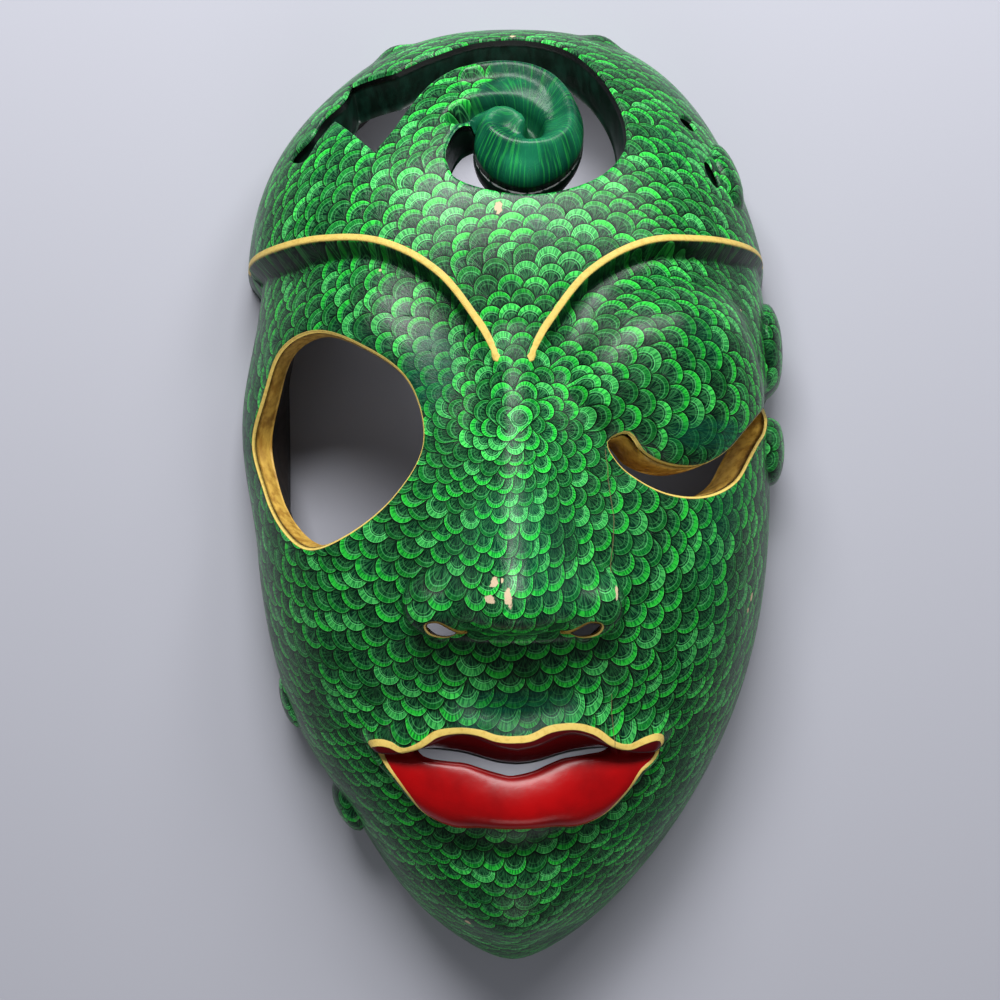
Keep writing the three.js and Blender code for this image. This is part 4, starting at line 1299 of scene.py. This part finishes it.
def painted_wood():
    s = Shader("painted_wood")
    chart = s.uv("drawing")
    brush = s.noise(chart, *BRUSH_NOISE)
    soft = s.noise(chart, *SOFT_NOISE)
    broad = s.noise(chart, *BROAD_NOISE)
    colour, strokes = scale_colour(s)
    teal = s.times(s.step(broad, *TEAL_PATCHES), TEAL_PATCH_SHARE)
    colour = s.mix(teal, colour, s.mix(TEAL_SHARE, SCALE_TEAL, SCALE_DARK))
    curl_share = s.attribute("curl")
    colour = s.mix(curl_share, colour, curl_colour(s, chart))
    # Painted light: the scales lightened where the light from above and the sheen fall on the nose and the
    # forehead
    painted_light_gain = s.plus(s.times(s.attribute("light"), PAINTED_LIGHT_GAIN), 1.0)
    colour = s.node("ShaderNodeHueSaturation", {"Color": colour, "Value": painted_light_gain}).outputs[0]
    # Painted shade: dark green under the brow's overhang and in the curl's trench
    painted_shade = s.attribute("dusk")
    colour = s.mix(s.times(painted_shade, PAINTED_SHADE_SHARE), colour, SHADOW_GREEN)
    smooth = s.attribute("smooth")
    grain = s.noise(s.vector("MULTIPLY", chart, s.join(1.0, GRAIN_STRETCH, 1.0)), *GRAIN_NOISE)
    plain = s.mix(s.step(grain, *GRAIN_PATCHES), SCALE_DARK, SCALE_TEAL)
    colour = s.mix(s.times(smooth, SMOOTH_SHARE), colour, plain)

    lip = s.attribute("lip")
    on_lip = s.step(lip, -PAINT_BLEND, PAINT_BLEND)
    # Painted shade: the upper lip, tucked under its crest, is painted the darker red
    upper = s.attribute("upper_lip_shade")
    red = s.mix(upper, LIP_RED, LIP_DARK_AND_SHADE)
    red = s.mix(s.times(s.step(soft, *LIP_PATCHES), LIP_PATCH_SHARE), red, LIP_DARK_AND_SHADE)
    colour = s.mix(on_lip, colour, red)

    gold = s.attribute("gold")
    lip_gold = s.mix_value(s.attribute("over_lip"), LIP_GOLD_UNDER, LIP_GOLD_OVER)
    lip_gold = s.minus(lip_gold, s.math("ABSOLUTE", lip))
    gold = s.larger(gold, lip_gold)
    gold = s.plus(gold, s.times(s.minus(brush, 0.5), GOLD_RAGGED))
    on_gold = s.step(gold, -PAINT_BLEND, PAINT_BLEND)
    worn = s.times(s.step(brush, *GOLD_WEAR), GOLD_WEAR_SHARE)
    colour = s.mix(on_gold, colour, s.mix(worn, GOLD_PAINT, GOLD_WORN))

    crack = crack_mask(s, chart)
    colour = s.mix(s.times(crack, CRACK_SHARE), colour, CRACK_BROWN)
    chip = chip_mask(s, chart)
    colour = s.mix(chip, colour, BARE_WOOD)

    rough = s.mix_value(s.step(soft, *ROUGH_PATCHES), *LACQUER_ROUGH)
    rough = s.mix_value(on_lip, rough, LIP_ROUGH)
    rough = s.mix_value(on_gold, rough, GOLD_ROUGH)
    rough = s.mix_value(chip, rough, WOOD_ROUGH)
    height = s.times(strokes, s.flip(on_lip))
    height = s.plus(s.times(height, STROKE_HIGH), brush)
    height = s.minus(height, s.times(chip, CHIP_DEEP))
    height = s.plus(height, s.times(on_gold, GOLD_HIGH))
    carved = s.bump(s.noise(chart, *CARVED_NOISE), *CARVED_BUMP)
    normal = s.bump(height, *BRUSH_BUMP, carved)
    s.paint("Base Color", colour)
    s.paint("Roughness", rough)
    s.paint("Normal", normal)
    s.surface.inputs["IOR"].default_value = LACQUER_IOR
    return s.material


# Plain woods: name, two colours, roughness from and to, and the scale of the grain
PLAIN_WOODS = [
    ("dark_wood", INSIDE_DARK, INSIDE_BLACK, 0.5, 0.75, 400.0),
    ("gold_wall", WALL_GOLD, WALL_BROWN, 0.45, 0.65, 500.0),
    # The green wall is painted shade: the crown's and the slots' walls painted near black
    ("green_wall_shade", SHADOW_GREEN, WALL_GREEN_SHADE, 0.3, 0.5, 400.0),
]
WOOD_STRETCH = 0.25
WOOD_PATCHES = (0.35, 0.7)
WOOD_FINENESS = (4.0, 0.6)
CHISEL_NOISE = (170.0, 1.0)
WOOD_BUMP = (0.0002, 0.4)
CHISEL_BUMP = (0.001, 0.5)
FLOOR_NOISE = (3.0, 2.0)


def plain_paint(name, light, dark, low, high, scale):
    s = Shader(name)
    place = s.node("ShaderNodeTexCoord").outputs["Object"]
    long = s.vector("MULTIPLY", place, s.join(1.0, WOOD_STRETCH, 1.0))
    grain = s.noise(long, scale, *WOOD_FINENESS)
    chisel = s.noise(place, *CHISEL_NOISE)
    s.paint("Base Color", s.mix(s.step(grain, *WOOD_PATCHES), light, dark))
    s.paint("Roughness", s.mix_value(grain, low, high))
    s.paint("Normal", s.bump(grain, *WOOD_BUMP, s.bump(chisel, *CHISEL_BUMP)))
    return s.material


def make_mask():
    places, faces, kinds, where, outside_count = build_shell()
    low, high = (np.array(corner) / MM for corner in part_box("mask"))
    own_low, own_high = places.min(axis=0), places.max(axis=0)
    shift = (low + high) / 2 - (own_low + own_high) / 2
    shift[2] = low[2] - own_low[2]
    places = np.clip(places + shift, low, high)

    mesh = bpy.data.meshes.new("carved_mask")
    mesh.from_pydata([tuple(p) for p in places * MM], [], [tuple(int(i) for i in face) for face in faces])
    for material in [painted_wood()] + [plain_paint(*wood) for wood in PLAIN_WOODS]:
        mesh.materials.append(material)
    slots = {"outside": 0, "inside": 1, "rim": 1, "wall round_eye": 2, "wall slit_eye": 2,
             "wall mouth": 1, "wall nostril": 2, "wall slot": 3, "wall crown": 3}
    mesh.polygons.foreach_set("material_index", [slots[kind] for kind in kinds])
    mesh.polygons.foreach_set("use_smooth", [True] * len(faces))

    count = len(where)
    u, v = where[:, 0], where[:, 1]
    paints = {
        # the dusk mask is painted shade under the brow's overhang and in the curl's trench
        "gold": gold_paint(u, v), "lip": lip_paint(u, v), "curl": curl_paint(u, v), "dusk": painted_shade_at(u, v),
        # the light mask is painted light on the nose and the forehead
        "smooth": smooth_paint(u, v), "light": painted_light_at(u, v), "over_lip": over_lip(u, v),
        # the upper lip's mask, for its painted shade
        "upper_lip_shade": smoothstep(v - height_at(MOUTH_SEAM, np.abs(u - LIP_MIDLINE)), *UPPER_LIP_SHADE_TURNS),
    }
    for name, values in paints.items():
        full = np.full(len(places), UNPAINTED)
        full[:count] = values
        layer = mesh.attributes.new(name, "FLOAT", "POINT")
        layer.data.foreach_set("value", full)

    outside = np.array(faces[:outside_count])
    local = scale_layers(where, outside)
    corners = len(mesh.loops)
    drawing = np.zeros((corners, 2))
    drawing[:outside_count * 3] = where[outside].reshape(-1, 2) * MM
    mesh.uv_layers.new(name="drawing").data.foreach_set("uv", drawing.ravel())
    for layer in range(LAYERS):
        full = np.full((corners, 2), NO_SCALE)
        full[:outside_count * 3] = local[layer].reshape(-1, 2)
        mesh.uv_layers.new(name=f"scale_{layer}").data.foreach_set("uv", full.ravel())
    mesh.update()
    mask = bpy.data.objects.new("carved_mask", mesh)
    bpy.context.scene.collection.objects.link(mask)
    return mask, shift


FLOOR_HALF = 1.5
FLOOR_DROP = 0.0003
FLOOR_ROUGH = 0.7


def make_floor():
    mesh = bpy.data.meshes.new("floor")
    corners = [(x * FLOOR_HALF, y * FLOOR_HALF, 0) for x, y in ((-1, -1), (1, -1), (1, 1), (-1, 1))]
    mesh.from_pydata(corners, [], [(0, 1, 2, 3)])
    floor = bpy.data.objects.new("floor", mesh)
    floor.location.z = -FLOOR_DROP
    bpy.context.scene.collection.objects.link(floor)
    s = Shader("floor_paper")
    place = s.node("ShaderNodeTexCoord").outputs["Object"]
    s.paint("Base Color", s.mix(s.noise(place, *FLOOR_NOISE), FLOOR_DIM, FLOOR_PALE))
    s.surface.inputs["Roughness"].default_value = FLOOR_ROUGH
    mesh.materials.append(s.material)


# Lamps: name, place, target, width, height and power. The last three light the floor in the hollow
LAMPS = [
    ("key", (-0.08, 0.58, 0.62), (0, 0, 0.03), 0.5, 0.25, 9.5),
    ("second", (0.32, 0.5, 0.5), (0, 0, 0.03), 0.2, 0.25, 2),
    ("low", (0.05, -0.7, 0.45), (0, 0, 0.02), 0.5, 0.3, 1.2),
    ("hollow", (0.02, 0.02, 0.045), (0.03, 0.02, 0), 0.03, 0.1, 0.004),
    ("under_mouth", (0, -0.088, 0.014), (0, -0.092, 0), 0.06, 0.012, 0.007),
    ("under_crown", (0, 0.085, 0.02), (0, 0.1, 0), 0.06, 0.02, 0.006),
]
ROOM_COLOUR = (0.75, 0.78, 0.85, 1)
ROOM_STRENGTH = 0.12

# The photograph's camera, straight over the face and a little to its left, in millimetres
CAMERA_PLACE = (-3.5, -8.0, 620.0)
SENSOR = 36.0
FRAME_PIXELS = 1000
FOCAL_PIXELS = 2183


def area_light(name, place, target, width, height, power):
    light = bpy.data.lights.new(name, "AREA")
    light.shape = "RECTANGLE"
    light.size = width
    light.size_y = height
    light.energy = power
    lamp = bpy.data.objects.new(name, light)
    lamp.location = place
    lamp.rotation_euler = (Vector(target) - Vector(place)).to_track_quat("-Z", "Y").to_euler()
    bpy.context.scene.collection.objects.link(lamp)


def make_studio(shift):
    world = bpy.data.worlds.new("soft_room")
    world.use_nodes = True
    world.node_tree.nodes["Background"].inputs["Color"].default_value = ROOM_COLOUR
    world.node_tree.nodes["Background"].inputs["Strength"].default_value = ROOM_STRENGTH
    bpy.context.scene.world = world
    for lamp in LAMPS:
        area_light(*lamp)

    camera = bpy.data.objects.new("camera", bpy.data.cameras.new("camera"))
    camera.data.sensor_width = SENSOR
    camera.data.lens = SENSOR * FOCAL_PIXELS / FRAME_PIXELS
    camera.location = [(place + move) * MM for place, move in zip(CAMERA_PLACE, (shift[0], shift[1], 0))]
    bpy.context.scene.collection.objects.link(camera)
    bpy.context.scene.camera = camera
    bpy.context.scene.view_settings.view_transform = "Standard"


mask, shift = make_mask()
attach(mask, "root")
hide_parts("mask")
make_floor()
make_studio(shift)
